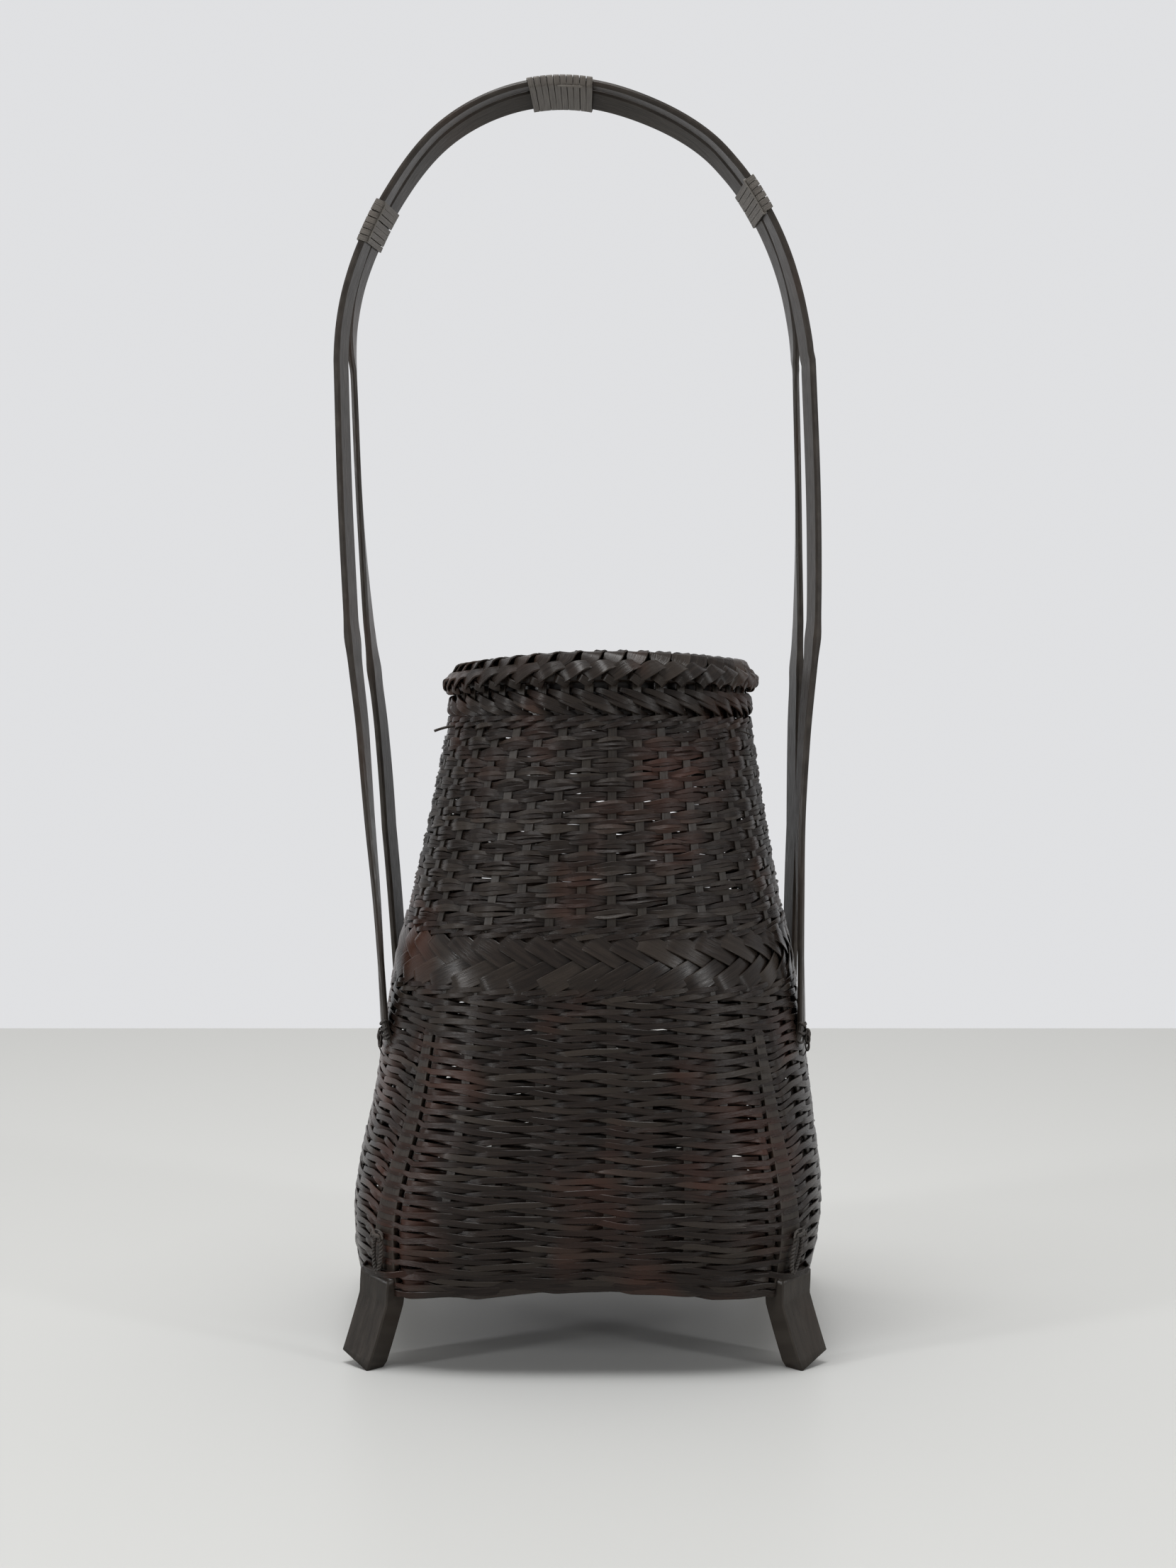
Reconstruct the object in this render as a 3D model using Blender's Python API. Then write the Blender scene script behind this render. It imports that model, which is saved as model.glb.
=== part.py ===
"""Ikebana basket: a woven bamboo body on four feet, under a tall handle of two bent strips.

Metres, +Z up, +X to the right of the front view, the front at -Y, the floor at z = 0. The origin is
on the floor, in the middle of the box round the whole basket.
"""

import math

import bmesh
import bpy
import numpy as np
from mathutils import Vector

UP = Vector((0, 0, 1))
BACK = Vector((0, 1, 0))

# The gap that touching pieces keep
CLEARANCE = 0.0003
# Faces that meet at more than this angle keep a sharp edge
SHARP_ANGLE = math.radians(40.0)
# The small turn that a direction along a curve is taken over
SMALL_TURN = 0.01

# Body: the stack of woven rings, from the bottom up
BODY_BOTTOM = 0.026
LOWER_WALL_HEIGHT = 0.1136
TWINING_HEIGHT = 0.0045
BAND_HEIGHT = 0.0174
UPPER_WALL_HEIGHT = 0.0775
COLLAR_HEIGHT = 0.0086
BRAID_HEIGHT = 0.0165
WALL = 0.003
BODY_HALF_WIDTH = 0.091
# (share of the height from the bottom edge to the rim braid, share of the half width)
PROFILE_SHARES = (
    (0.0, 0.945), (0.035, 0.972), (0.08, 0.991), (0.135, 1.0), (0.205, 0.985), (0.29, 0.950),
    (0.395, 0.914), (0.50, 0.877), (0.56, 0.848), (0.62, 0.816), (0.71, 0.771), (0.80, 0.727),
    (0.89, 0.688), (0.965, 0.660), (1.0, 0.655),
)
# (share of the same height, power of the rounded square there: 2 is a circle)
SECTION_POWER_SHARES = (
    (0.0, 4.0), (0.15, 3.7), (0.30, 3.1), (0.50, 2.7), (0.65, 2.4), (1.0, 2.0),
)
# The bottom edge is higher in the middle of each side than at the corners, and fades out by this height
BASE_ARCH = 0.006
BASE_ARCH_FADE = 0.030
# The mouth stands to the right of the base, and is higher at the front and back than at the sides
BODY_LEAN = 0.006
MOUTH_RISE = 0.002
AROUND = 40
LOWER_RING_SHARES = (0.0, 0.07, 0.16, 0.27, 0.41, 0.58, 0.79, 1.0)
UPPER_RING_SHARES = (0.0, 0.25, 0.52, 0.78, 1.0)

# Rope-like rows, plaited band, collar and braided rim, which stand proud of the wall
ROUNDED_EDGE_SHARE = 0.2
TWINING_PROUD = 0.0008
BAND_PROUD = 0.0008
COLLAR_PROUD = 0.0013
COLLAR_THICKNESS = 0.0056
BRAID_PROUD = 0.0024
BRAID_THICKNESS = 0.0105
# (share of the braid's thickness from its outer side, share of its height)
BRAID_OUTLINE_SHARES = (
    (0.28, 0.0), (0.06, 0.14), (0.0, 0.36), (0.06, 0.56), (0.22, 0.68), (0.34, 0.80), (0.52, 1.0),
    (0.78, 0.98), (0.96, 0.80), (1.0, 0.40), (0.88, 0.06),
)

# Base panel and the stakes that cross on it
PANEL_BOTTOM = 0.0335
PANEL_THICKNESS = 0.0024
STAKES_EACH_WAY = 10
STAKE_WIDTH = 0.0034
STAKE_THICKNESS = 0.0010
STAKE_CLEARANCE = 0.0006
STAKE_BEND = 0.006
# The rings of each wall that a stake bends at, from its top down
STAKE_UPPER_SHARES = (1.0, 0.52, 0.0)
STAKE_LOWER_SHARES = (1.0, 0.58, 0.27, 0.16)

# Legs: a foot under each corner, and the stave that it tapers into
FOOT_WIDTH = 0.0125
FOOT_DEPTH = 0.0080
FOOT_SPLAY = 0.0085
FOOT_SIDE_SPLAY = 0.0060
FOOT_CORNER_CUT = 0.0050
FOOT_CROWN = 0.0008
# How the splay grows down the foot, and how much of the corner's cut the crown beside it takes
FOOT_SPLAY_POWER = 1.4
CROWN_CUT_SHARE = 1 / 6
STAVE_FOOT_THICKNESS = 0.0028
STAVE_TIP_WIDTH = 0.0042
STAVE_TIP_THICKNESS = 0.0012
STAVE_HEIGHT = 0.102
STAVE_TAPER_POWER = 0.8
STAVE_FOOT_TURN = math.radians(45.0)
STAVE_TIP_TURN = math.radians(49.0)
FOOT_RING_SHARES = (0.98, 0.75, 0.5, 0.22, 0.0)

# Handle: two strips, each from the left wall over the top to the right wall
HANDLE_HEIGHT = 0.4998
HANDLE_SPRING = 0.385
HANDLE_END = 0.1185
HANDLE_HALF_SPAN = 0.0925
HANDLE_LEAN = 0.0072
STRIP_WIDTH = 0.0110
STRIP_THICKNESS = 0.0021
STRIP_CROWN = 0.0005
STRIP_EDGE_GAP = 0.0010
STRIP_SPREAD = 0.0385
BACK_STRIP_INSET = 0.0032
# Where the back strip's leg starts to draw in, and over how much of the leg
INSET_START_SHARE = 0.35
INSET_SPAN_SHARE = 0.35
NODE_SWELL = 0.0011
FRONT_NODE_SHARE = 0.59
BACK_NODE_SHARE = 0.545
NODE_LENGTH_SHARE = 0.020
# (share of the height from the strip's end to the spring, share of the half span)
LEG_SPAN_SHARES = (
    (0.0, 0.876), (0.25, 0.902), (0.45, 0.938), (0.57, 0.974), (0.62, 0.986), (0.80, 1.0), (1.0, 1.0),
)
LEG_RING_SHARES = (
    0.0, 0.06, 0.14, 0.26, 0.38, 0.48, 0.52, 0.545, 0.57, 0.59, 0.61, 0.66, 0.74, 0.84, 0.93,
)
ARCH_STEPS = 28
# The leg's share of the way from a strip's end to the top
LEG_WAY_SHARE = 0.6
# The strips draw together up to here, counted from their ends (0) over the spring (1) to the top (2)
SPREAD_END_SHARE = 1.31
SPREAD_POWER = 1.2
# (share of the way from a strip's end to the top, tilt in degrees: positive turns its outer face to the back)
FRONT_TILT_SHARES = ((0.0, -8.0), (0.2, 2.0), (0.35, 8.0), (0.6, 10.0), (0.75, 4.0), (1.0, -4.0))
BACK_TILT_SHARES = (
    (0.0, 14.0), (0.2, 12.0), (0.35, 5.0), (0.45, -4.0), (0.65, -5.0), (0.8, 2.0), (1.0, 16.0),
)

# Points of a tube that are closer along it than this many radii don't count for its least gap
NEIGHBOUR_RADII = 6

# Lashings: flat cane wound round both strips, one tube of many loops each
LASHING_RADIUS = 0.0009
LASHING_PITCH = 0.0025
LASHING_SLACK = 0.0005
# A radian of turn takes as many of a loop's points as this length of straight does
LASHING_TURN_LENGTH = 0.006
POINTS_PER_LOOP = 24
HULL_DIRECTIONS = 720
TOP_LASHING_ANGLE = math.radians(92.5)
LEFT_LASHING_ANGLE = math.radians(150.0)
RIGHT_LASHING_ANGLE = math.radians(36.5)
TOP_LASHING_LOOPS = 10
LEFT_LASHING_LOOPS = 7
RIGHT_LASHING_LOOPS = 6

# Ties: dark bast knotted over the staves and over the ends of the handle strips
TIE_RADIUS = 0.00050
TIE_POINTS = 22
TIE_DEPTH = 0.0024
LEG_TIE_HEIGHT = 0.0150
LEG_TIE_WIDTH = 0.0062
LEG_TIE_LEVEL = 0.0460
HANDLE_TIE_HEIGHT = 0.0140
HANDLE_TIE_WIDTH = 0.0078
HANDLE_TIE_RISE = 0.0050
TIE_OPEN_SHARE = 0.955

# Heights worked out from the stack
LOWER_WALL_TOP = BODY_BOTTOM + LOWER_WALL_HEIGHT
LOWER_TWINING_BOTTOM = LOWER_WALL_TOP + CLEARANCE
BAND_BOTTOM = LOWER_TWINING_BOTTOM + TWINING_HEIGHT + CLEARANCE
UPPER_TWINING_BOTTOM = BAND_BOTTOM + BAND_HEIGHT + CLEARANCE
UPPER_WALL_BOTTOM = UPPER_TWINING_BOTTOM + TWINING_HEIGHT + CLEARANCE
UPPER_WALL_TOP = UPPER_WALL_BOTTOM + UPPER_WALL_HEIGHT
COLLAR_BOTTOM = UPPER_WALL_TOP + CLEARANCE
BRAID_BOTTOM = COLLAR_BOTTOM + COLLAR_HEIGHT + CLEARANCE
BODY_HEIGHT = BRAID_BOTTOM - BODY_BOTTOM
PANEL_TOP = PANEL_BOTTOM + PANEL_THICKNESS


def clear_scene():
    for old in list(bpy.data.objects):
        bpy.data.objects.remove(old, do_unlink=True)


def material(name, colour, roughness):
    """A plain Principled material of bamboo or cane, which is never metallic."""
    made = bpy.data.materials.new(name)
    made.use_nodes = True
    shader = made.node_tree.nodes["Principled BSDF"]
    shader.inputs["Base Color"].default_value = (*colour, 1.0)
    shader.inputs["Roughness"].default_value = roughness
    shader.inputs["Metallic"].default_value = 0.0
    return made


def along(table, share):
    """The value of a table of (share, value) pairs at a share, on a smooth curve through its points."""
    shares = [row[0] for row in table]
    values = [row[1] for row in table]
    share = min(max(share, shares[0]), shares[-1])
    i = max(k for k in range(len(table) - 1) if shares[k] <= share)

    def slope(k):
        low, high = max(k - 1, 0), min(k + 1, len(table) - 1)
        return (values[high] - values[low]) / (shares[high] - shares[low])

    run = shares[i + 1] - shares[i]
    t = (share - shares[i]) / run
    start = values[i] * (2 * t**3 - 3 * t**2 + 1) + slope(i) * run * (t**3 - 2 * t**2 + t)
    return start + values[i + 1] * (3 * t**2 - 2 * t**3) + slope(i + 1) * run * (t**3 - t**2)


# The body's surface

def height_share(z):
    return (z - BODY_BOTTOM) / BODY_HEIGHT


def half_width(z):
    return BODY_HALF_WIDTH * along(PROFILE_SHARES, height_share(z))


def body_centre_x(z):
    return BODY_LEAN * height_share(z)


def polar_radius(turn, half, power):
    """Radius of a rounded square of this half width, in the direction of turn."""
    reach = abs(math.cos(turn)) ** power + abs(math.sin(turn)) ** power
    return half / reach ** (1 / power)


def body_point(turn, z, inset):
    """A point on the body, inset from its outer surface, at turn radians from +X."""
    power = along(SECTION_POWER_SHARES, height_share(z))
    radius = polar_radius(turn, half_width(z) - inset, power)
    above_band = max(0.0, z - BAND_BOTTOM) / (BRAID_BOTTOM - BAND_BOTTOM)
    rise = MOUTH_RISE * above_band * math.sin(turn) ** 2
    return Vector((body_centre_x(z) + radius * math.cos(turn), radius * math.sin(turn), z + rise))


def arched(z, turn):
    """The height of a point of the bottom edge, lifted in the middle of each side."""
    fade = max(0.0, 1 - (z - BODY_BOTTOM) / BASE_ARCH_FADE)
    return z + BASE_ARCH * fade**2 * (1 + math.cos(4 * turn)) / 2


def facet_point(turn, z, inset):
    """(a point on the flat facet of a body ring that lies at this turn, the direction along the facet)."""
    step = 2 * math.pi / AROUND
    first = math.floor(turn / step) * step
    start, end = body_point(first, z, inset), body_point(first + step, z, inset)
    return start.lerp(end, (turn - first) / step), (end - start).normalized()


def wall_x(z, y):
    """How far the body's outer surface lies from its centre line at this height and depth."""
    power = along(SECTION_POWER_SHARES, height_share(z))
    half = half_width(z)
    return half * (1 - (abs(y) / half) ** power) ** (1 / power)


# Making objects

def new_object(name, mesh, finish):
    mesh.materials.append(finish)
    made = bpy.data.objects.new(name, mesh)
    bpy.context.scene.collection.objects.link(made)
    made.parent = bpy.data.objects["basket"]
    return made


def solid(name, rings, finish, is_loop):
    """A closed mesh through rings of points, joined in a loop or capped at both ends."""
    shape = bmesh.new()
    rows = [[shape.verts.new(point) for point in ring] for ring in rings]
    count = len(rows[0])
    last = len(rows) if is_loop else len(rows) - 1
    for i in range(last):
        row, following = rows[i], rows[(i + 1) % len(rows)]
        for j in range(count):
            k = (j + 1) % count
            shape.faces.new((row[j], row[k], following[k], following[j]))
    if not is_loop:
        shape.faces.new(rows[0])
        shape.faces.new(rows[-1])
    bmesh.ops.recalc_face_normals(shape, faces=shape.faces)
    mesh = bpy.data.meshes.new(name)
    shape.to_mesh(mesh)
    shape.free()
    mesh.shade_smooth()
    mesh.set_sharp_from_angle(angle=SHARP_ANGLE)
    return new_object(name, mesh, finish)


def body_ring(name, outline, finish):
    """A ring round the body. The outline is its section, as (height, inset) points."""
    rings = []
    for step in range(AROUND):
        turn = 2 * math.pi * step / AROUND
        rings.append([body_point(turn, arched(z, turn), inset) for z, inset in outline])
    return solid(name, rings, finish, is_loop=True)


def tube(name, points, radius, finish):
    """A closed tube along points, which also prints the least gap between its own turns."""
    curve = bpy.data.curves.new(name, "CURVE")
    curve.dimensions = "3D"
    curve.bevel_depth = radius
    curve.bevel_resolution = 1
    curve.use_fill_caps = True
    spline = curve.splines.new("POLY")
    spline.points.add(len(points) - 1)
    for place, point in zip(spline.points, points):
        place.co = (*point, 1.0)
    print(f"{name}: least gap to itself {least_gap(points, radius) * 1000:.2f} mm")
    return new_object(name, curve, finish)


def least_gap(points, radius):
    """The least distance between the tube's skins at points that aren't close along it."""
    places = np.array([tuple(point) for point in points])
    run = np.concatenate(([0.0], np.cumsum(np.linalg.norm(np.diff(places, axis=0), axis=1))))
    apart = np.linalg.norm(places[:, None] - places[None, :], axis=2)
    is_far = np.abs(run[:, None] - run[None, :]) > NEIGHBOUR_RADII * radius
    return apart[is_far].min() - 2 * radius


# Woven rings of the body

def wall_outline(bottom, height, shares, thickness):
    outer = [(bottom + height * share, 0.0) for share in shares]
    inner = [(z, thickness) for z, _ in reversed(outer)]
    return outer + inner


def make_walls(weave):
    lower = wall_outline(BODY_BOTTOM, LOWER_WALL_HEIGHT, LOWER_RING_SHARES, WALL)
    body_ring("lower_wall", lower, weave)
    upper = wall_outline(UPPER_WALL_BOTTOM, UPPER_WALL_HEIGHT, UPPER_RING_SHARES, WALL)
    body_ring("upper_wall", upper, weave)


def rounded_outline(bottom, height, proud, thickness):
    """A section with a rounded outer side, standing proud of the wall."""
    return [
        (bottom, 0.0),
        (bottom + ROUNDED_EDGE_SHARE * height, -proud),
        (bottom + (1 - ROUNDED_EDGE_SHARE) * height, -proud),
        (bottom + height, 0.0),
        (bottom + height, thickness),
        (bottom, thickness),
    ]


def make_twining(name, bottom, weave):
    body_ring(name, rounded_outline(bottom, TWINING_HEIGHT, TWINING_PROUD, WALL), weave)


def make_band(plait):
    body_ring("middle_band", rounded_outline(BAND_BOTTOM, BAND_HEIGHT, BAND_PROUD, WALL), plait)


def make_rim(plait):
    collar = rounded_outline(COLLAR_BOTTOM, COLLAR_HEIGHT, COLLAR_PROUD, COLLAR_THICKNESS - COLLAR_PROUD)
    body_ring("rim_collar", collar, plait)
    braid = [
        (BRAID_BOTTOM + up * BRAID_HEIGHT, across * BRAID_THICKNESS - BRAID_PROUD)
        for across, up in BRAID_OUTLINE_SHARES
    ]
    body_ring("rim_braid", braid, plait)


def make_panel(plait):
    rings = []
    for z in (PANEL_BOTTOM, PANEL_TOP):
        turns = [2 * math.pi * step / AROUND for step in range(AROUND)]
        rings.append([body_point(turn, z, WALL + STAKE_CLEARANCE) for turn in turns])
    solid("base_panel", rings, plait, is_loop=False)


# Strips: a section swept along a path

def strip_section(centre, across, outward, width, thickness, crown):
    """Five points round a strip, whose outward face is crowned."""
    side, face = across * (width / 2), outward * (thickness / 2)
    return [
        centre - side - face,
        centre + side - face,
        centre + side + face,
        centre + face + outward * crown,
        centre - side + face,
    ]


def stake_side(turn, base_level):
    """One side of a stake, from its top down the wall and in to the base: (point, direction across)."""
    depth = WALL + STAKE_CLEARANCE + STAKE_THICKNESS / 2
    upper = [UPPER_WALL_BOTTOM + UPPER_WALL_HEIGHT * share for share in STAKE_UPPER_SHARES]
    lower = [BODY_BOTTOM + LOWER_WALL_HEIGHT * share for share in STAKE_LOWER_SHARES]
    side = [facet_point(turn, z, depth) for z in upper + lower]
    foot = facet_point(turn, base_level, depth + STAKE_BEND)[0]
    return side, foot


def make_stake(name, turn, mirrored, base_level, bamboo):
    """A stake from the rim down one wall, straight across the base and up the opposite wall."""
    down, foot = stake_side(turn, base_level)
    up, other_foot = stake_side(mirrored, base_level)
    across_base = UP.cross(other_foot - foot).normalized()
    across_base *= 1 if across_base.dot(down[-1][1]) > 0 else -1
    path = down + [(foot, across_base), (other_foot, across_base)]
    path += [(point, -across) for point, across in reversed(up)]
    rings = []
    for i, (point, across) in enumerate(path):
        before, after = path[max(i - 1, 0)][0], path[min(i + 1, len(path) - 1)][0]
        outward = (after - before).normalized().cross(across).normalized()
        side, face = across * (STAKE_WIDTH / 2), outward * (STAKE_THICKNESS / 2)
        rings.append([point - side - face, point + side - face, point + side + face, point - side + face])
    solid(name, rings, bamboo, is_loop=False)


def make_stakes(bamboo):
    """Ten stakes from side to side, and ten from front to back in the layer above them."""
    step = math.pi / 2 / STAKES_EACH_WAY
    first_layer = PANEL_TOP + CLEARANCE + STAKE_THICKNESS / 2
    second_layer = first_layer + STAKE_THICKNESS + CLEARANCE
    for i in range(STAKES_EACH_WAY):
        turn = -math.pi / 4 + (i + 0.5) * step
        make_stake(f"stake_across_{i + 1:02d}", turn, math.pi - turn, first_layer, bamboo)
        make_stake(f"stake_along_{i + 1:02d}", turn + math.pi / 2, -turn - math.pi / 2, second_layer, bamboo)


# Legs

def corner_turn(right, back, z):
    """The direction of a leg at this height, for the corner on this side and end (each 1 or -1)."""
    share = min(max((z - BODY_BOTTOM) / STAVE_HEIGHT, 0.0), 1.0)
    turn = STAVE_FOOT_TURN + (STAVE_TIP_TURN - STAVE_FOOT_TURN) * share
    turn = turn if right > 0 else math.pi - turn
    return turn * back


def leg_frame(right, back, z):
    """(point on the wall, direction across the leg towards its side, outward) at this height."""
    turn = corner_turn(right, back, z)
    wall_z = max(z, BODY_BOTTOM)
    point = body_point(turn, wall_z, 0.0)
    along_wall = body_point(turn + SMALL_TURN, wall_z, 0.0) - body_point(turn - SMALL_TURN, wall_z, 0.0)
    outward = along_wall.cross(UP).normalized()
    across = UP.cross(outward).normalized()
    across *= 1 if across.x * right > 0 else -1
    return Vector((point.x, point.y, z)), across, outward


def stave_sizes(z):
    share = (z - BODY_BOTTOM) / STAVE_HEIGHT
    width = FOOT_WIDTH + (STAVE_TIP_WIDTH - FOOT_WIDTH) * share**STAVE_TAPER_POWER
    thickness = STAVE_FOOT_THICKNESS + (STAVE_TIP_THICKNESS - STAVE_FOOT_THICKNESS) * share
    return width, thickness


def leg_levels():
    """Heights of the stave's rings, which are those of the wall behind it, and its tip."""
    levels = [BODY_BOTTOM + LOWER_WALL_HEIGHT * share for share in LOWER_RING_SHARES]
    tip = BODY_BOTTOM + STAVE_HEIGHT
    return [z for z in levels if z < tip] + [tip]


def make_leg(name, right, back, bamboo):
    rings = []
    for z in reversed(leg_levels()):
        point, across, outward = leg_frame(right, back, z)
        width, thickness = stave_sizes(z)
        centre = point + outward * (CLEARANCE + thickness / 2)
        crown = FOOT_CROWN * width / FOOT_WIDTH
        rings.append(strip_section(centre, across, outward, width, thickness, crown))
    shoulder = BODY_BOTTOM - CLEARANCE
    for share in FOOT_RING_SHARES:
        z = shoulder * share
        point, across, outward = leg_frame(right, back, z)
        splay_share = (1 - share) ** FOOT_SPLAY_POWER
        face = CLEARANCE + STAVE_FOOT_THICKNESS + FOOT_SPLAY * splay_share
        centre = point + outward * (face - FOOT_DEPTH / 2) + across * FOOT_SIDE_SPLAY * splay_share
        rings.append(strip_section(centre, across, outward, FOOT_WIDTH, FOOT_DEPTH, FOOT_CROWN))
    cut_foot_corner(rings[-1])
    solid(name, rings, bamboo, is_loop=False)


def cut_foot_corner(ring):
    """Lifts the outer corner on the foot's side, and a little of the crown beside it."""
    ring[2] += UP * FOOT_CORNER_CUT
    ring[3] += UP * FOOT_CORNER_CUT * CROWN_CUT_SHARE


# Handle

def strip_share_y(share):
    """A strip's distance from the middle plane, from its end (0) to the spring (1) and the top (2)."""
    beside = STRIP_WIDTH / 2 + STRIP_EDGE_GAP / 2
    reached = min(share / SPREAD_END_SHARE, 1.0)
    return beside + (STRIP_SPREAD - beside) * (1 - reached) ** SPREAD_POWER


def end_half_span(tilt, back):
    """Half span at the strip's end, where the strip just clears the wall on both of its edges."""
    reach = STRIP_WIDTH / 2 * math.cos(tilt)
    spans = []
    for edge in (-1, 1):
        wall = wall_x(HANDLE_END, STRIP_SPREAD * back + edge * reach)
        spans.append(wall + edge * STRIP_WIDTH / 2 * math.sin(tilt))
    return max(spans) + CLEARANCE + STRIP_THICKNESS / 2 / math.cos(tilt)


def leg_half_span(share, back):
    """Half span of a strip's leg, eased to where its end meets the wall."""
    drawn_in = min(max((share - INSET_START_SHARE) / INSET_SPAN_SHARE, 0.0), 1.0)
    inset = BACK_STRIP_INSET * drawn_in if back > 0 else 0.0
    seat = end_half_span(strip_tilt(back, 0.0), back)
    ease = max(0.0, 1 - share / LEG_SPAN_SHARES[2][0])
    shift = seat - HANDLE_HALF_SPAN * LEG_SPAN_SHARES[0][1]
    return HANDLE_HALF_SPAN * along(LEG_SPAN_SHARES, share) - inset + shift * ease


def leg_point(side, back, share):
    """The centre of a strip's leg, from its end (0) to the spring of the arch (1)."""
    z = HANDLE_END + (HANDLE_SPRING - HANDLE_END) * share
    centre = body_centre_x(HANDLE_END) - HANDLE_LEAN * share
    return Vector((centre + side * leg_half_span(share, back), back * strip_share_y(share), z))


def arch_point(angle, back):
    """The centre of a strip at an angle from the right spring, or the point between them for back 0."""
    inset = BACK_STRIP_INSET * (back + 1) / 2
    rise = HANDLE_HEIGHT - STRIP_THICKNESS / 2 - STRIP_CROWN - HANDLE_SPRING - inset
    centre = body_centre_x(HANDLE_END) - HANDLE_LEAN
    share = 1 + math.sin(angle)
    return Vector((
        centre + (HANDLE_HALF_SPAN - inset) * math.cos(angle),
        back * strip_share_y(share),
        HANDLE_SPRING + rise * math.sin(angle),
    ))


def arch_way(angle):
    """The share of the way from the nearer end of a strip to its top, at an angle on the arch."""
    climb = 1 - abs(angle - math.pi / 2) / (math.pi / 2)
    return LEG_WAY_SHARE + (1 - LEG_WAY_SHARE) * climb


def strip_stations(back):
    """(centre, share of the way from the nearer end to the top, leg share) from left to right."""
    left = [(leg_point(-1, back, share), share * LEG_WAY_SHARE, share) for share in LEG_RING_SHARES]
    arch = []
    for step in range(ARCH_STEPS + 1):
        angle = math.pi * (1 - step / ARCH_STEPS)
        arch.append((arch_point(angle, back), arch_way(angle), 1.0))
    right = [(leg_point(1, back, share), share * LEG_WAY_SHARE, share) for share in reversed(LEG_RING_SHARES)]
    return left + arch + right


def strip_tilt(back, way):
    return math.radians(along(BACK_TILT_SHARES if back > 0 else FRONT_TILT_SHARES, way))


def strip_axes(tangent, tilt):
    """(direction across the strip towards the back, outward face direction)."""
    outward = tangent.cross(BACK).normalized()
    across = outward.cross(tangent).normalized()
    return (
        across * math.cos(tilt) - outward * math.sin(tilt),
        outward * math.cos(tilt) + across * math.sin(tilt),
    )


def node_swell(leg_share, back):
    """How much a bamboo node thickens a strip at a share of its leg."""
    node = BACK_NODE_SHARE if back > 0 else FRONT_NODE_SHARE
    return NODE_SWELL * math.exp(-(((leg_share - node) / NODE_LENGTH_SHARE) ** 2))


def make_handle_strip(name, back, bamboo):
    stations = strip_stations(back)
    rings = []
    for i, (centre, way, leg_share) in enumerate(stations):
        before, after = stations[max(i - 1, 0)][0], stations[min(i + 1, len(stations) - 1)][0]
        across, outward = strip_axes((after - before).normalized(), strip_tilt(back, way))
        swell = node_swell(leg_share, back)
        rings.append(
            strip_section(centre, across, outward, STRIP_WIDTH + swell, STRIP_THICKNESS + swell, STRIP_CROWN)
        )
    solid(name, rings, bamboo, is_loop=False)


# Lashings

def arch_axes(angle):
    """(direction along the arch to the right, outward) between the strips, at an angle on the arch."""
    tangent = (arch_point(angle - SMALL_TURN, 0) - arch_point(angle + SMALL_TURN, 0)).normalized()
    return tangent, tangent.cross(BACK).normalized()


def bundle_corners(angle):
    """The corners of both strips' sections at an angle on the arch, as (depth, outward) from between them."""
    middle = arch_point(angle, 0)
    tangent, outward = arch_axes(angle)
    corners = []
    for back in (-1, 1):
        across, face = strip_axes(tangent, strip_tilt(back, arch_way(angle)))
        centre = arch_point(angle, back)
        for point in strip_section(centre, across, face, STRIP_WIDTH, STRIP_THICKNESS, STRIP_CROWN):
            offset = point - middle
            corners.append((offset.dot(BACK), offset.dot(outward)))
    return corners


def wrap_outline(corners, offset, count):
    """Points on the line that keeps this offset from the corners' hull, closer where it turns."""
    points = np.array(corners)
    turns = np.linspace(0.0, 2 * math.pi, HULL_DIRECTIONS + 1)[:-1]
    directions = np.stack((np.cos(turns), np.sin(turns)), axis=1)
    reach = directions @ points.T
    line = points[reach.argmax(axis=1)] + directions * offset
    line = np.vstack((line, line[:1]))
    steps = np.linalg.norm(np.diff(line, axis=0), axis=1) + LASHING_TURN_LENGTH * (turns[1] - turns[0])
    run = np.concatenate(([0.0], np.cumsum(steps)))
    wanted = np.linspace(0.0, run[-1], count + 1)[:-1]
    return np.stack((np.interp(wanted, run, line[:, 0]), np.interp(wanted, run, line[:, 1])), axis=1)


def make_lashing(name, middle_angle, loops, cane):
    """Loops round both strips, which advance along the arch by one pitch a loop."""
    step = arch_point(middle_angle + SMALL_TURN, 0) - arch_point(middle_angle - SMALL_TURN, 0)
    arch_step = step.length / (2 * SMALL_TURN)
    reach = loops / 2 * LASHING_PITCH / arch_step
    corners = [
        corner for angle in (middle_angle - reach, middle_angle, middle_angle + reach)
        for corner in bundle_corners(angle)
    ]
    outline = wrap_outline(corners, LASHING_RADIUS + LASHING_SLACK, POINTS_PER_LOOP)
    points = []
    for i in range(loops * POINTS_PER_LOOP + 1):
        travelled = (i / POINTS_PER_LOOP - loops / 2) * LASHING_PITCH
        angle = middle_angle - travelled / arch_step
        outward = arch_axes(angle)[1]
        depth, out = outline[i % POINTS_PER_LOOP]
        points.append(arch_point(angle, 0) + BACK * float(depth) + outward * float(out))
    tube(name, points, LASHING_RADIUS, cane)


# Ties

def knot_points(centre, across, upward, outward, width, height):
    """An open overhand knot of bast, flat against what it ties."""
    points = []
    for i in range(TIE_POINTS):
        t = 2 * math.pi * TIE_OPEN_SHARE * i / (TIE_POINTS - 1)
        u = (math.sin(t) + 2 * math.sin(2 * t)) / 6
        v = (math.cos(t) - 2 * math.cos(2 * t)) / 6
        w = -math.sin(3 * t) / 2
        points.append(centre + across * (u * width) + upward * (v * height) + outward * (w * TIE_DEPTH))
    return points


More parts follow.
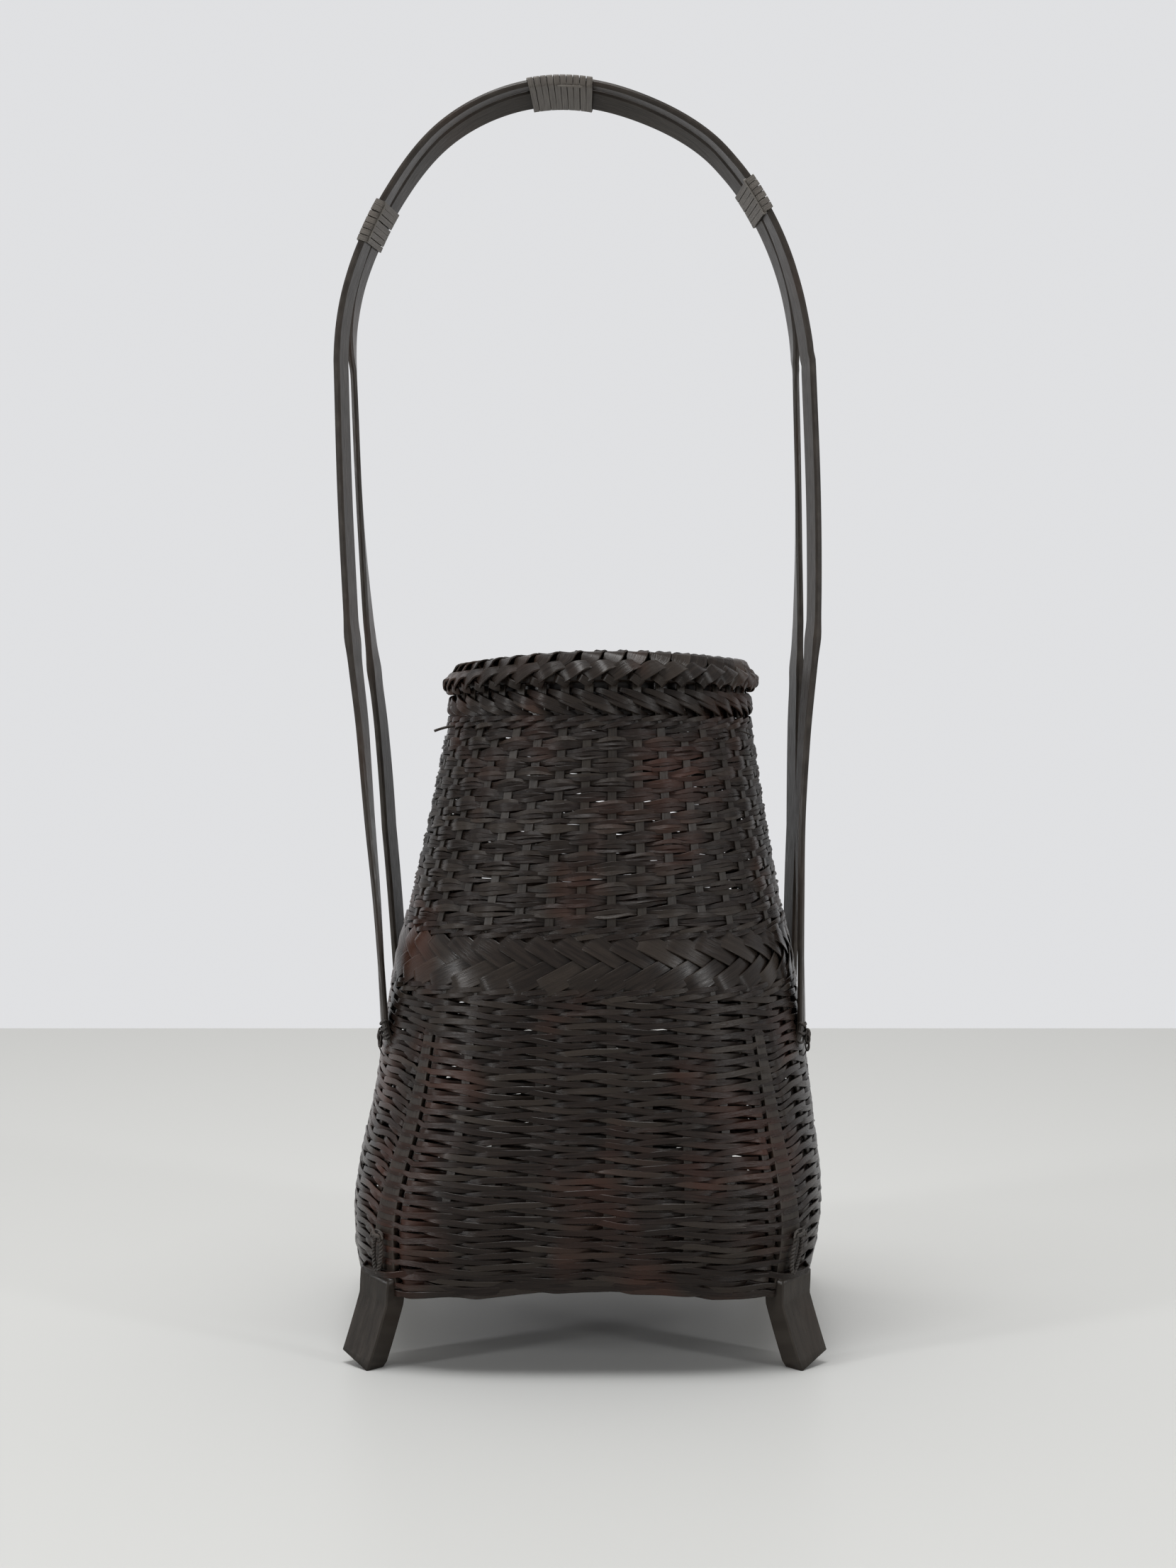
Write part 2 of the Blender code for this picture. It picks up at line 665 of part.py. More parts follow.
def make_leg_tie(name, right, back, bast):
    """A knot over the stave, just above the foot."""
    point, across, outward = leg_frame(right, back, LEG_TIE_LEVEL)
    above = leg_frame(right, back, LEG_TIE_LEVEL + LEG_TIE_HEIGHT / 2)[0]
    below = leg_frame(right, back, LEG_TIE_LEVEL - LEG_TIE_HEIGHT / 2)[0]
    upward = (above - below).normalized()
    thickness = stave_sizes(LEG_TIE_LEVEL)[1] + FOOT_CROWN
    stand_off = CLEARANCE + thickness + CLEARANCE + TIE_RADIUS + TIE_DEPTH / 2
    centre = point + outward * stand_off
    points = knot_points(centre, across, upward, outward, LEG_TIE_WIDTH, LEG_TIE_HEIGHT)
    tube(name, points, TIE_RADIUS, bast)


def make_handle_tie(name, side, back, bast):
    """A knot over the outer face of a strip, just above its end."""
    share = HANDLE_TIE_RISE / (HANDLE_SPRING - HANDLE_END)
    centre = leg_point(side, back, share)
    upward = (leg_point(side, back, share * 2) - leg_point(side, back, 0.0)).normalized()
    across, outward = strip_axes(upward * -side, strip_tilt(back, share * LEG_WAY_SHARE))
    stand_off = STRIP_THICKNESS / 2 + STRIP_CROWN + CLEARANCE + TIE_RADIUS + TIE_DEPTH / 2
    centre += outward * stand_off
    points = knot_points(centre, across, upward, outward, HANDLE_TIE_WIDTH, HANDLE_TIE_HEIGHT)
    tube(name, points, TIE_RADIUS, bast)


def centre_on_origin():
    """Moves the whole basket so that the box round it stands centred on the origin."""
    bpy.context.view_layer.update()
    graph = bpy.context.evaluated_depsgraph_get()
    points = []
    for made in bpy.data.objects:
        if made.type in ("MESH", "CURVE"):
            whole = made.evaluated_get(graph)
            points += [whole.matrix_world @ vertex.co for vertex in whole.to_mesh().vertices]
            whole.to_mesh_clear()
    lows = [min(point[axis] for point in points) for axis in range(2)]
    highs = [max(point[axis] for point in points) for axis in range(2)]
    bpy.data.objects["basket"].location = (-(lows[0] + highs[0]) / 2, -(lows[1] + highs[1]) / 2, 0.0)


def main():
    clear_scene()
    root = bpy.data.objects.new("basket", None)
    bpy.context.scene.collection.objects.link(root)

    weave = material("woven_bamboo", (0.040, 0.030, 0.025), 0.50)
    plait = material("plaited_bamboo", (0.050, 0.036, 0.029), 0.42)
    bamboo = material("split_bamboo", (0.038, 0.031, 0.027), 0.40)
    cane = material("grey_cane", (0.135, 0.125, 0.115), 0.60)
    bast = material("dark_bast", (0.030, 0.023, 0.019), 0.70)

    make_walls(weave)
    make_twining("lower_twining", LOWER_TWINING_BOTTOM, weave)
    make_band(plait)
    make_twining("upper_twining", UPPER_TWINING_BOTTOM, weave)
    make_rim(plait)
    make_panel(plait)
    make_stakes(bamboo)

    for end, back in (("front", -1), ("back", 1)):
        for side, right in (("left", -1), ("right", 1)):
            make_leg(f"leg_{end}_{side}", right, back, bamboo)
            make_leg_tie(f"leg_tie_{end}_{side}", right, back, bast)
            make_handle_tie(f"handle_tie_{end}_{side}", right, back, bast)
        make_handle_strip(f"handle_strip_{end}", back, bamboo)

    make_lashing("lashing_top", TOP_LASHING_ANGLE, TOP_LASHING_LOOPS, cane)
    make_lashing("lashing_left", LEFT_LASHING_ANGLE, LEFT_LASHING_LOOPS, cane)
    make_lashing("lashing_right", RIGHT_LASHING_ANGLE, RIGHT_LASHING_LOOPS, cane)
    centre_on_origin()


main()
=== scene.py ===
from math import cos, pi, radians, sin

import bpy
import numpy as np
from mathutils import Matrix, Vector


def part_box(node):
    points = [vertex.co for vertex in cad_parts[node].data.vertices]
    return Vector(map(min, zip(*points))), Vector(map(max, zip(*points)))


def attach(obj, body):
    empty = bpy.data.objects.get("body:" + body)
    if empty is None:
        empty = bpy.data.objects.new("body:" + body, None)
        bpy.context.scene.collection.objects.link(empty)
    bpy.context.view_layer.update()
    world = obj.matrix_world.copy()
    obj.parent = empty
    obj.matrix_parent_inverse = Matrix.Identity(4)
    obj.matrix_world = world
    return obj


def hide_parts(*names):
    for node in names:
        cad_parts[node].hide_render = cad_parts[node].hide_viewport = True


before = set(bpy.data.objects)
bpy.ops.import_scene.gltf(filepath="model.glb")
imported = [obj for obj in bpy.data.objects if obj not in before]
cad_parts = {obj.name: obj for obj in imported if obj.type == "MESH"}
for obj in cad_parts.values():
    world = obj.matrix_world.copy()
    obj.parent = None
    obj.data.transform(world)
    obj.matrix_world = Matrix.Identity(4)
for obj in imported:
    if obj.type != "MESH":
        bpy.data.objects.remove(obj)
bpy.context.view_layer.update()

SEED = 7
random = np.random.default_rng(SEED)

# The body's surface, as in the CAD part (metres)
BODY_BOTTOM = 0.026
LOWER_WALL_HEIGHT = 0.1136
TWINING_HEIGHT = 0.0045
BAND_HEIGHT = 0.0174
UPPER_WALL_HEIGHT = 0.0775
COLLAR_HEIGHT = 0.0086
BRAID_HEIGHT = 0.0165
CLEARANCE = 0.0003
BODY_HALF_WIDTH = 0.091
# Half width by share of the body's height, and where it is widest
WIDEST_SHARE = 0.135
PROFILE_SHARES = (
    (0, 0.945), (0.035, 0.972), (0.08, 0.991), (0.135, 1.0), (0.205, 0.985), (0.29, 0.95), (0.395, 0.914),
    (0.5, 0.877), (0.56, 0.848), (0.62, 0.816), (0.71, 0.771), (0.8, 0.727), (0.89, 0.688),
    (0.965, 0.66), (1, 0.655),
)
# How square the body's section is (2 is round)
SECTION_POWER_SHARES = ((0, 4.0), (0.15, 3.7), (0.3, 3.1), (0.5, 2.7), (0.65, 2.4), (1, 2.0))
BASE_ARCH = 0.006
BASE_ARCH_FADE = 0.03
BODY_LEAN = 0.006
MOUTH_RISE = 0.002
# How far the body's middle stands to the right of its lean line, by share of its height
BODY_SWAY_SHARES = ((0, 0), (0.22, 0.0008), (0.33, 0.0013), (0.5, 0.0006), (1, 0.0002))
# How much lower the rim lies at the sides than at the front and back
RIM_SADDLE = 0.0024
# How much higher the rim lies at its right end than at its middle
RIM_TILT = 0.0008
# The height over which the rim takes up both
RIM_BEND_HEIGHT = 0.018
BRAID_PROUD = 0.0024
# How far the woven wall stands outside the CAD body below the rim
WALL_PROUD = 0.0009
PROUD_FADE = 0.012
BRAID_THICKNESS = 0.0105
# (inset, height) round the rim braid's section
BRAID_OUTLINE_SHARES = (
    (0.28, 0), (0.06, 0.14), (0, 0.36), (0.06, 0.54), (0.2, 0.64), (0.34, 0.72), (0.52, 0.84),
    (0.78, 0.83), (0.96, 0.68), (1, 0.4), (0.88, 0.06),
)

LOWER_WALL_TOP = BODY_BOTTOM + LOWER_WALL_HEIGHT
LOWER_TWINING_BOTTOM = LOWER_WALL_TOP + CLEARANCE
BAND_BOTTOM = LOWER_TWINING_BOTTOM + TWINING_HEIGHT + CLEARANCE
UPPER_TWINING_BOTTOM = BAND_BOTTOM + BAND_HEIGHT + CLEARANCE
UPPER_WALL_BOTTOM = UPPER_TWINING_BOTTOM + TWINING_HEIGHT + CLEARANCE
UPPER_WALL_TOP = UPPER_WALL_BOTTOM + UPPER_WALL_HEIGHT
COLLAR_BOTTOM = UPPER_WALL_TOP + CLEARANCE
BRAID_BOTTOM = COLLAR_BOTTOM + COLLAR_HEIGHT + CLEARANCE
BODY_HEIGHT = BRAID_BOTTOM - BODY_BOTTOM

RIBS = 40
RIB_STEP = 2 * pi / RIBS

# Legs and handle
STAVE_FOOT_WIDTH = 0.0131
FOOT_WIDTH = 0.0165
FOOT_DEPTH = 0.009
FOOT_TOP = 0.036
# How far the foot's face stands outward and to the side of the corner, at its top and on the floor
FOOT_OUT, FOOT_SPLAY = 0.0045, 0.0125
FOOT_SIDE, FOOT_SIDE_SPLAY = 0.0031, 0.009
# How far the stave's lower end stands to the side of the corner
FOOT_SIDE_SHIFT = 0.0006
FOOT_CORNER_CUT = 0.003
FOOT_SPLAY_POWER = 1.15
STAVE_FOOT_THICKNESS = 0.0028
STAVE_TIP_WIDTH = 0.0042
STAVE_TIP_THICKNESS = 0.0012
STAVE_HEIGHT = 0.102
# How deep the stave's inner face lies in the wall at its lower end, and how much less at its tip
STAVE_SUNK, STAVE_TIP_RISE = 0.002, 0.0006
# The distances from the body's axis, at a corner and at a foot, that turn angles into lengths
CORNER_RADIUS, FOOT_RADIUS = 0.108, 0.106
CORNERS = [(back, right) for back in (-1, 1) for right in (-1, 1)]
ENDS = (("front", -1), ("back", 1))
SIDES = (("left", -1), ("right", 1))
STAVE_TAPER_POWER = 0.8
STAVE_FOOT_TURN = radians(45.0)
STAVE_TIP_TURN = radians(46.7)
HANDLE_HEIGHT = 0.498
HANDLE_SPRING = 0.385
HANDLE_END = 0.1185
HANDLE_HALF_SPAN = 0.0925
HANDLE_LEAN = 0.0072
STRIP_WIDTH = 0.011
STRIP_THICKNESS = 0.0021
STRIP_CROWN = 0.0005
STRIP_EDGE_GAP = 0.001
STRIP_SPREAD = 0.0385
INSET_START_SHARE = 0.3
INSET_SPAN_SHARE = 0.3
NODE_SWELL = 0.0007
STRIP_TUCK = 0.0032
FRONT_NODE_SHARE = 0.59
BACK_NODE_SHARE = 0.545
NODE_LENGTH_SHARE = 0.02
# Half span of a strip's leg, by share of its way from its end to the spring of the arch
LEG_SPAN_SHARES = (
    (0, 0.876), (0.25, 0.902), (0.45, 0.938), (0.57, 0.974), (0.62, 0.986), (0.8, 1.0), (1, 1.0),
)
LEG_WAY_SHARE = 0.6
SPREAD_END_SHARE = 1.31
SPREAD_POWER = 1.2
# (share of the way from a strip's end to the top, tilt in degrees)
FRONT_TILT_SHARES = (
    (0, -9.0), (0.1, -3.0), (0.2, 5.0), (0.3, 12.0), (0.4, 15.0), (0.6, 15.0), (0.68, 12.0), (0.78, 4.0),
    (1, -4.0),
)
BACK_TILT_SHARES = (
    (0, 17.0), (0.2, 17.0), (0.31, 13.0), (0.37, 6.0), (0.45, -3.0), (0.59, -5.0), (0.617, 2.0),
    (0.66, 8.0), (0.8, 14.0), (1, 29.0),
)
# How far the back strip lies inside the front one on the arch
INSET_WAY_SHARES = (
    (0.6, 0.003), (0.615, 0.0025), (0.64, 0.002), (0.72, 0.002), (0.85, 0.0024), (1, 0.003),
)
# How much the arch stands above or below its oval, by share of its turn from the right to the left
ARCH_RISE_SHARES = (
    (0, 0), (0.2, 0), (0.3, -0.0013), (0.4, -0.002), (0.5, -0.0006), (0.6, 0.0003), (0.7, 0.0009),
    (0.82, 0), (1, 0),
)
# How much further to the right the arch stands, by share of its turn from the right to the left
ARCH_SIDE_SHARES = (
    (0, -0.0004), (0.06, -0.0014), (0.19, -0.0014), (0.25, -0.0007), (0.3, 0.0004), (0.4, 0), (0.68, 0),
    (0.78, 0.001), (0.84, 0.0008), (0.92, 0), (1, 0),
)
# How far each strip stands to the right of the handle's own line, by share of the way from its end to the top
FRONT_SWAY_SHARES = (
    (0, 0.0011), (0.12, 0.0006), (0.2, 0), (0.3, 0.0006), (0.4, 0.0012), (0.6, 0.0008), (0.8, 0),
    (1, -0.001),
)
BACK_SWAY_SHARES = (
    (0, 0.0023), (0.2, 0.0024), (0.27, 0.0021), (0.35, 0.0015), (0.45, 0.001), (0.6, 0.0006), (0.8, 0),
    (1, -0.001),
)
TOP_LASHING_ANGLE = radians(92.5)
LEFT_LASHING_ANGLE = radians(150.0)
RIGHT_LASHING_ANGLE = radians(36.5)
LASHING_PITCH = 0.0025
CANE_OFFSET = 0.00062
LOOP_POINTS = 48
# How widely a lashing's points are spread round a corner (metres for each radian)
CORNER_POINTS = 0.004

UP = np.array((0.0, 0.0, 1.0))
BACKWARD = np.array((0.0, 1.0, 0.0))
# A direction that no cord runs along
ANY_WAY = (0.31, 0.22, 0.92)
RING = np.linspace(0, 2 * pi, 160, endpoint=False)
# Small steps that give a surface's directions: in turn, in height, and round the rim's section
TURN_STEP, LEVEL_STEP, RIM_STEP = 0.004, 0.0004, 0.01


def along(table, shares):
    """The value of a table of (share, value) pairs at each share, on a smooth curve through its points."""
    at, values = np.array(table, float).T
    shares = np.clip(np.asarray(shares, float), at[0], at[-1])
    order = np.arange(len(at))
    low, high = np.maximum(order - 1, 0), np.minimum(order + 1, len(at) - 1)
    slopes = (values[high] - values[low]) / (at[high] - at[low])
    i = np.clip(np.searchsorted(at, shares, side="right") - 1, 0, len(at) - 2)
    run = at[i + 1] - at[i]
    t = (shares - at[i]) / run
    start = values[i] * (2 * t**3 - 3 * t**2 + 1) + slopes[i] * run * (t**3 - 2 * t**2 + t)
    return start + values[i + 1] * (3 * t**2 - 2 * t**3) + slopes[i + 1] * run * (t**3 - t**2)


def unit(vectors):
    return vectors / np.linalg.norm(vectors, axis=-1, keepdims=True)


def smooth(value):
    value = np.clip(value, 0.0, 1.0)
    return value * value * (3 - 2 * value)


def turned(across, out, angle):
    """Two directions at right angles, turned round the third (radians)."""
    angle = np.asarray(angle)[..., None]
    return across * np.cos(angle) - out * np.sin(angle), out * np.cos(angle) + across * np.sin(angle)


def run_along(points, extra=0.0):
    """How far along a line of points each one lies, with something extra for each step."""
    return np.concatenate(([0.0], np.cumsum(np.linalg.norm(np.diff(points, axis=0), axis=1) + extra)))


# The whole basket is shifted so that it stands centred on the origin
WALL_LOW, WALL_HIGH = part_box("lower_wall")
WALL_MIDDLE = (WALL_LOW + WALL_HIGH) / 2
SHIFT = np.array((WALL_MIDDLE.x - BODY_LEAN * WIDEST_SHARE, 0.0, 0.0))


def height_share(z):
    return (z - BODY_BOTTOM) / BODY_HEIGHT


def body_point(turn, z, inset=0.0):
    """Points on the body, inset from its outer surface, at turn radians from +X."""
    turn, z, inset = np.broadcast_arrays(turn, z, inset)
    share = height_share(z)
    power = along(SECTION_POWER_SHARES, share)
    half = BODY_HALF_WIDTH * along(PROFILE_SHARES, share) - inset
    reach = np.abs(np.cos(turn)) ** power + np.abs(np.sin(turn)) ** power
    radius = half / reach ** (1 / power)
    above_band = np.maximum(0.0, z - BAND_BOTTOM) / (BRAID_BOTTOM - BAND_BOTTOM)
    rise = MOUTH_RISE * above_band * np.sin(turn) ** 2
    bend = RIM_TILT * np.cos(turn) - RIM_SADDLE * np.cos(turn) ** 2
    rise = rise + bend * smooth((z - COLLAR_BOTTOM) / RIM_BEND_HEIGHT)
    x = BODY_LEAN * share + along(BODY_SWAY_SHARES, share) + radius * np.cos(turn)
    return np.stack((x, radius * np.sin(turn), z + rise), axis=-1) + SHIFT


def wall_surface(turn, z):
    """Points on the wall, whose bottom edge is lifted in the middle of each side."""
    fade = np.maximum(0.0, 1 - (z - BODY_BOTTOM) / BASE_ARCH_FADE)
    proud = WALL_PROUD * smooth((COLLAR_BOTTOM - z) / PROUD_FADE)
    return body_point(turn, z + BASE_ARCH * fade**2 * (1 + np.cos(4 * turn)) / 2, -proud)


def rim_surface(turn, share):
    """Points round the braid's section: share 0 at its bottom outside, 1 at its bottom inside."""
    at = np.linspace(0.0, 1.0, len(BRAID_OUTLINE_SHARES))
    across, up = (along(np.stack((at, row), axis=1), share) for row in np.array(BRAID_OUTLINE_SHARES).T)
    return body_point(turn, BRAID_BOTTOM + up * BRAID_HEIGHT, across * BRAID_THICKNESS - BRAID_PROUD)


def lay(turn, level, depth, surface=wall_surface):
    """(points at a depth under a surface, outward normals), at each turn and level."""
    turn, level, depth = np.broadcast_arrays(turn, level, depth)
    step = RIM_STEP if surface is rim_surface else LEVEL_STEP
    around = surface(turn + TURN_STEP, level) - surface(turn - TURN_STEP, level)
    up = surface(turn, level + step) - surface(turn, level - step)
    normal = unit(np.cross(around, up))
    return surface(turn, level) - normal * depth[..., None], normal


def rib_turn(place):
    """The turn of a place counted in ribs: whole numbers lie on ribs."""
    return -pi / 4 + (np.asarray(place) + 0.5) * RIB_STEP


def loop_noise(count, knots):
    """A smooth random loop of values, mostly between -1 and 1."""
    values = random.normal(0, 0.6, knots)
    at = np.arange(count) * knots / count
    i = at.astype(int)
    t = smooth(at - i)
    return values[i % knots] * (1 - t) + values[(i + 1) % knots] * t


def round_section(count, squareness=1.0):
    """(across, out) round a section: squareness 1 is an ellipse, and less is squarer."""
    angle = 2 * pi * (np.arange(count) + 0.5) / count
    across = np.sign(np.cos(angle)) * np.abs(np.cos(angle)) ** squareness
    out = np.sign(np.sin(angle)) * np.abs(np.sin(angle)) ** squareness
    return np.stack((across, out), axis=1)


def plank(edge_across, edge_out):
    """A flat section with cut corners, whose edges stay crisp."""
    x, y = edge_across, edge_out
    return np.array(((1, y), (x, 1), (-x, 1), (-1, y), (-1, -y), (-x, -1), (x, -1), (1, -y)), float)


STRAND_SECTION = plank(0.86, 0.35)
STRIP_SECTION = plank(0.94, 0.5)
BLOCK_SECTION = plank(0.94, 0.88)
CORD_SECTION = round_section(6)


def put_in_scene(name, data):
    made = bpy.data.objects.new(name, data)
    bpy.context.scene.collection.objects.link(made)
    return made


class Weave:
    """Collects swept strands, and makes one mesh of them."""

    def __init__(self):
        self.points, self.faces, self.marks, self.creases = [], [], [], []
        self.count = 0

    def lay(self, turn, level, depth, *look, surface=wall_surface, **more):
        """One strand at a depth under a surface."""
        self.add(*lay(turn, level, depth, surface), *look, **more)

    def cord(self, centres, normals, thickness, tone=None):
        self.add(centres, normals, thickness, thickness, CORD_SECTION, tone)

    def add(self, centres, normals, width, thickness, section, tone=None, is_loop=False, tilt=None):
        """One strand along centres. Normals say which way its face looks, and tilt turns it (radians)."""
        n, m = len(centres), len(section)
        if is_loop:
            tangent = np.roll(centres, -1, axis=0) - np.roll(centres, 1, axis=0)
        else:
            tangent = np.gradient(centres, axis=0)
        tangent = unit(tangent)
        across = unit(np.cross(normals, tangent))
        out = np.cross(tangent, across)
        if tilt is not None:
            across, out = turned(across, out, np.broadcast_to(np.asarray(tilt, float), (n,)))
        half_width = np.broadcast_to(np.asarray(width, float), (n,))[:, None] / 2
        half_thick = np.broadcast_to(np.asarray(thickness, float), (n,))[:, None] / 2
        ring = (
            centres[:, None]
            + across[:, None] * (section[:, 0] * half_width)[..., None]
            + out[:, None] * (section[:, 1] * half_thick)[..., None]
        )
        marks = np.empty((n, m, 3))
        marks[..., 0] = run_along(centres)[:, None]
        marks[..., 1] = section[:, 0]
        marks[..., 2] = random.random() if tone is None else tone
        rows = np.arange(n if is_loop else n - 1)[:, None]
        j = np.arange(m)
        k = (j + 1) % m
        here, following = rows * m, (rows + 1) % n * m
        faces = np.stack((here + j, here + k, following + k, following + j), axis=-1).reshape(-1, 4)
        if not is_loop:
            half = np.arange(m // 2 - 1)
            cap = np.stack((half, half + 1, m - 2 - half, m - 1 - half), axis=1)
            faces = np.vstack((faces, cap[:, ::-1], cap + (n - 1) * m))
        self.faces.append(faces + self.count)
        self.points.append(ring.reshape(-1, 3))
        self.marks.append(marks.reshape(-1, 3))
        crease = np.arange(1, m + 1) if m == len(STRAND_SECTION) else np.zeros(m, int)
        self.creases.append(np.tile(crease, n))
        self.count += n * m

    def make(self, name, finish):
        """The mesh of all strands: planks keep sharp long edges, and each point its run, side and tone."""
        points, faces = np.vstack(self.points), np.vstack(self.faces)
        mesh = bpy.data.meshes.new(name)
        mesh.vertices.add(len(points))
        mesh.vertices.foreach_set("co", points.ravel())
        mesh.loops.add(faces.size)
        mesh.loops.foreach_set("vertex_index", faces.ravel().astype(np.int32))
        mesh.polygons.add(len(faces))
        mesh.polygons.foreach_set("loop_start", np.arange(len(faces), dtype=np.int32) * 4)
        mesh.update(calc_edges=True)
        ends = np.empty(len(mesh.edges) * 2, np.int32)
        mesh.edges.foreach_get("vertices", ends)
        crease = np.concatenate(self.creases)[ends.reshape(-1, 2)]
        sharp = mesh.attributes.new("sharp_edge", "BOOLEAN", "EDGE")
        sharp.data.foreach_set("value", (crease[:, 0] == crease[:, 1]) & (crease[:, 0] > 0))
        marks = mesh.attributes.new("strand", "FLOAT_VECTOR", "POINT")
        marks.data.foreach_set("vector", np.vstack(self.marks).ravel())
        mesh.materials.append(finish)
        return put_in_scene(name, mesh)


class Nodes:
    """Short ways to add nodes to a tree."""

    def __init__(self, tree):
        self.tree = tree

    def put(self, value, socket):
        if isinstance(value, bpy.types.NodeSocket):
            self.tree.links.new(value, socket)
        else:
            socket.default_value = value

    def add(self, kind, *values):
        """A node of this kind, with these values or links on its first inputs."""
        node = self.tree.nodes.new("ShaderNode" + kind)
        for socket, value in zip(node.inputs, values):
            self.put(value, socket)
        return node

    def math(self, operation, first, second=0.0):
        node = self.add("Math", first, second)
        node.operation = operation
        return node.outputs[0]

    def times(self, first, second):
        return self.math("MULTIPLY", first, second)

    def mix(self, factor, first, second):
        """The second colour over the first."""
        node = self.add("Mix", factor)
        node.data_type = "RGBA"
        self.put(first, node.inputs[6])
        self.put(second, node.inputs[7])
        return node.outputs[2]

    def spread(self, value, low, high, to_low=0.0, to_high=1.0):
        return self.add("MapRange", value, low, high, to_low, to_high).outputs[0]

    def noise(self, vector, scale, detail):
        node = self.add("TexNoise", vector)
        self.put(scale, node.inputs["Scale"])
        self.put(detail, node.inputs["Detail"])
        return node.outputs[0]


def principled(name):
    """(material, its nodes, the inputs of its shader)."""
    material = bpy.data.materials.new(name)
    material.use_nodes = True
    nodes = Nodes(material.node_tree)
    return material, nodes, nodes.tree.nodes["Principled BSDF"].inputs


def bamboo(name, dark, mid, light, red, rough=0.25, gloss=0.17):
    """Stained bamboo: fibres along each strand, strands of different tones, worn edges, reddish patches."""
    material, nodes, shader = principled(name)
    strand = nodes.add("Attribute")
    strand.attribute_name = "strand"
    run, across, tone = nodes.add("SeparateXYZ", strand.outputs["Vector"]).outputs

    def grain(run_scale, across_scale, tone_scale, detail):
        scales = ((run, run_scale), (across, across_scale), (tone, tone_scale))
        scaled = nodes.add("CombineXYZ", *(nodes.times(*pair) for pair in scales))
        return nodes.noise(scaled.outputs[0], 1.0, detail)

    fibre = grain(70.0, 3.0, 70.0, 3.0)
    fine = grain(150.0, 9.0, 130.0, 2.0)
    patch = nodes.noise(nodes.add("TexCoord").outputs["Object"], 24.0, 2.0)
    body = nodes.mix(nodes.spread(fibre, 0.35, 0.68), (*dark, 1), (*mid, 1))
    body = nodes.mix(nodes.times(nodes.spread(tone, 0.55, 1.0), 0.4), body, (*light, 1))
    stained = nodes.times(nodes.spread(patch, 0.52, 0.7), nodes.spread(tone, 0.0, 1.0, 0.25, 0.75))
    body = nodes.mix(stained, body, (*red, 1))
    edge = nodes.math("POWER", nodes.math("ABSOLUTE", across), 6.0)
    wear = nodes.times(edge, nodes.spread(fine, 0.45, 0.7))
    body = nodes.mix(nodes.times(wear, 0.45), body, (*light, 1))
    nodes.put(body, shader["Base Color"])
    nodes.put(nodes.spread(fine, 0.3, 0.7, rough - 0.06, rough + 0.12), shader["Roughness"])
    nodes.put(gloss, shader["Specular IOR Level"])
    bump = nodes.add("Bump")
    nodes.put(0.6, bump.inputs["Strength"])
    nodes.put(0.00014, bump.inputs["Distance"])
    nodes.put(nodes.math("ADD", nodes.times(fibre, 0.6), fine), bump.inputs["Height"])
    nodes.put(bump.outputs[0], shader["Normal"])
    return material


FINISHES = {
    "woven_bamboo": bamboo("weave", (0.007, 0.0044, 0.0034), (0.018, 0.0122, 0.0096),
                           (0.054, 0.044, 0.035), (0.052, 0.018, 0.011)),
    "plaited_bamboo": bamboo("plait", (0.009, 0.0063, 0.005), (0.021, 0.0155, 0.0124),
                             (0.05, 0.04, 0.032), (0.06, 0.024, 0.015), 0.27),
    "split_bamboo": bamboo("split", (0.0165, 0.0132, 0.0106), (0.033, 0.027, 0.0222),
                           (0.054, 0.046, 0.038), (0.038, 0.022, 0.015), 0.33, 0.22),
    "grey_cane": bamboo("cane", (0.06, 0.052, 0.045), (0.12, 0.108, 0.095),
                        (0.21, 0.195, 0.175), (0.085, 0.07, 0.057), 0.5, 0.35),
    "dark_bast": bamboo("bast", (0.013, 0.0105, 0.0085), (0.034, 0.027, 0.022),
                        (0.07, 0.058, 0.047), (0.036, 0.023, 0.016), 0.6, 0.5),
}


def settle(weave, name, nodes, slot):
    """One finished piece of a weave: it stands for these CAD nodes and takes this slot's finish."""
    made = weave.make(name, FINISHES[slot])
    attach(made, "root")
    if nodes:
        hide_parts(*nodes)


# Lower wall: 48 slots of two strands, each over two ribs and under two
SLOTS = 48
SLOT_HEIGHT = LOWER_WALL_HEIGHT / SLOTS
RIB_DEPTH = 0.0013
FRONT_DEPTH = 0.0002
BEHIND_DEPTH = 0.0027
# (share of a strand's visible run, height in slots): even slots rise from below, odd ones come down
EVEN_LEVELS = (
    (0, -0.15), (0.12, 0.0), (0.28, 0.24), (0.5, 0.46), (0.7, 0.55), (1, 0.66), (1.28, 0.25),
    (1.55, -0.15),
)
ODD_LEVELS = (
    (0, 1.38), (0.12, 1.22), (0.28, 0.86), (0.5, 0.42), (0.7, 0.2), (1, 0.14), (1.28, 0.7), (1.55, 1.38),
)
# In ribs: a strand's visible run, its lead before its first rib, its rise to the front, its fall's start
VISIBLE_RUN = 2.58
STRAND_LEAD = 0.79
STRAND_RISE = 0.6
STRAND_FALL = 1.98
# How many slots the rows' height drifts together over
SWELL_SLOTS = 6
# How many slots higher the strands run at the corners
CORNER_LIFT = 1.1
SPLIT_THICKNESS = 0.00066
# How much thinner a strand is at a stave, and how far beside the stave's edge that begins and fades
STAVE_THINNING = 0.00026
STAVE_EDGE, STAVE_EDGE_FADE = 0.0002, 0.0035


def stave_share(z):
    """0 at the stave's lower end and 1 at its tip."""
    return np.clip((z - BODY_BOTTOM) / STAVE_HEIGHT, 0, 1)


def stave_turn(back, right, z):
    turn = STAVE_FOOT_TURN + (STAVE_TIP_TURN - STAVE_FOOT_TURN) * stave_share(z)
    turn = np.where(right > 0, turn, pi - turn)
    return turn * back


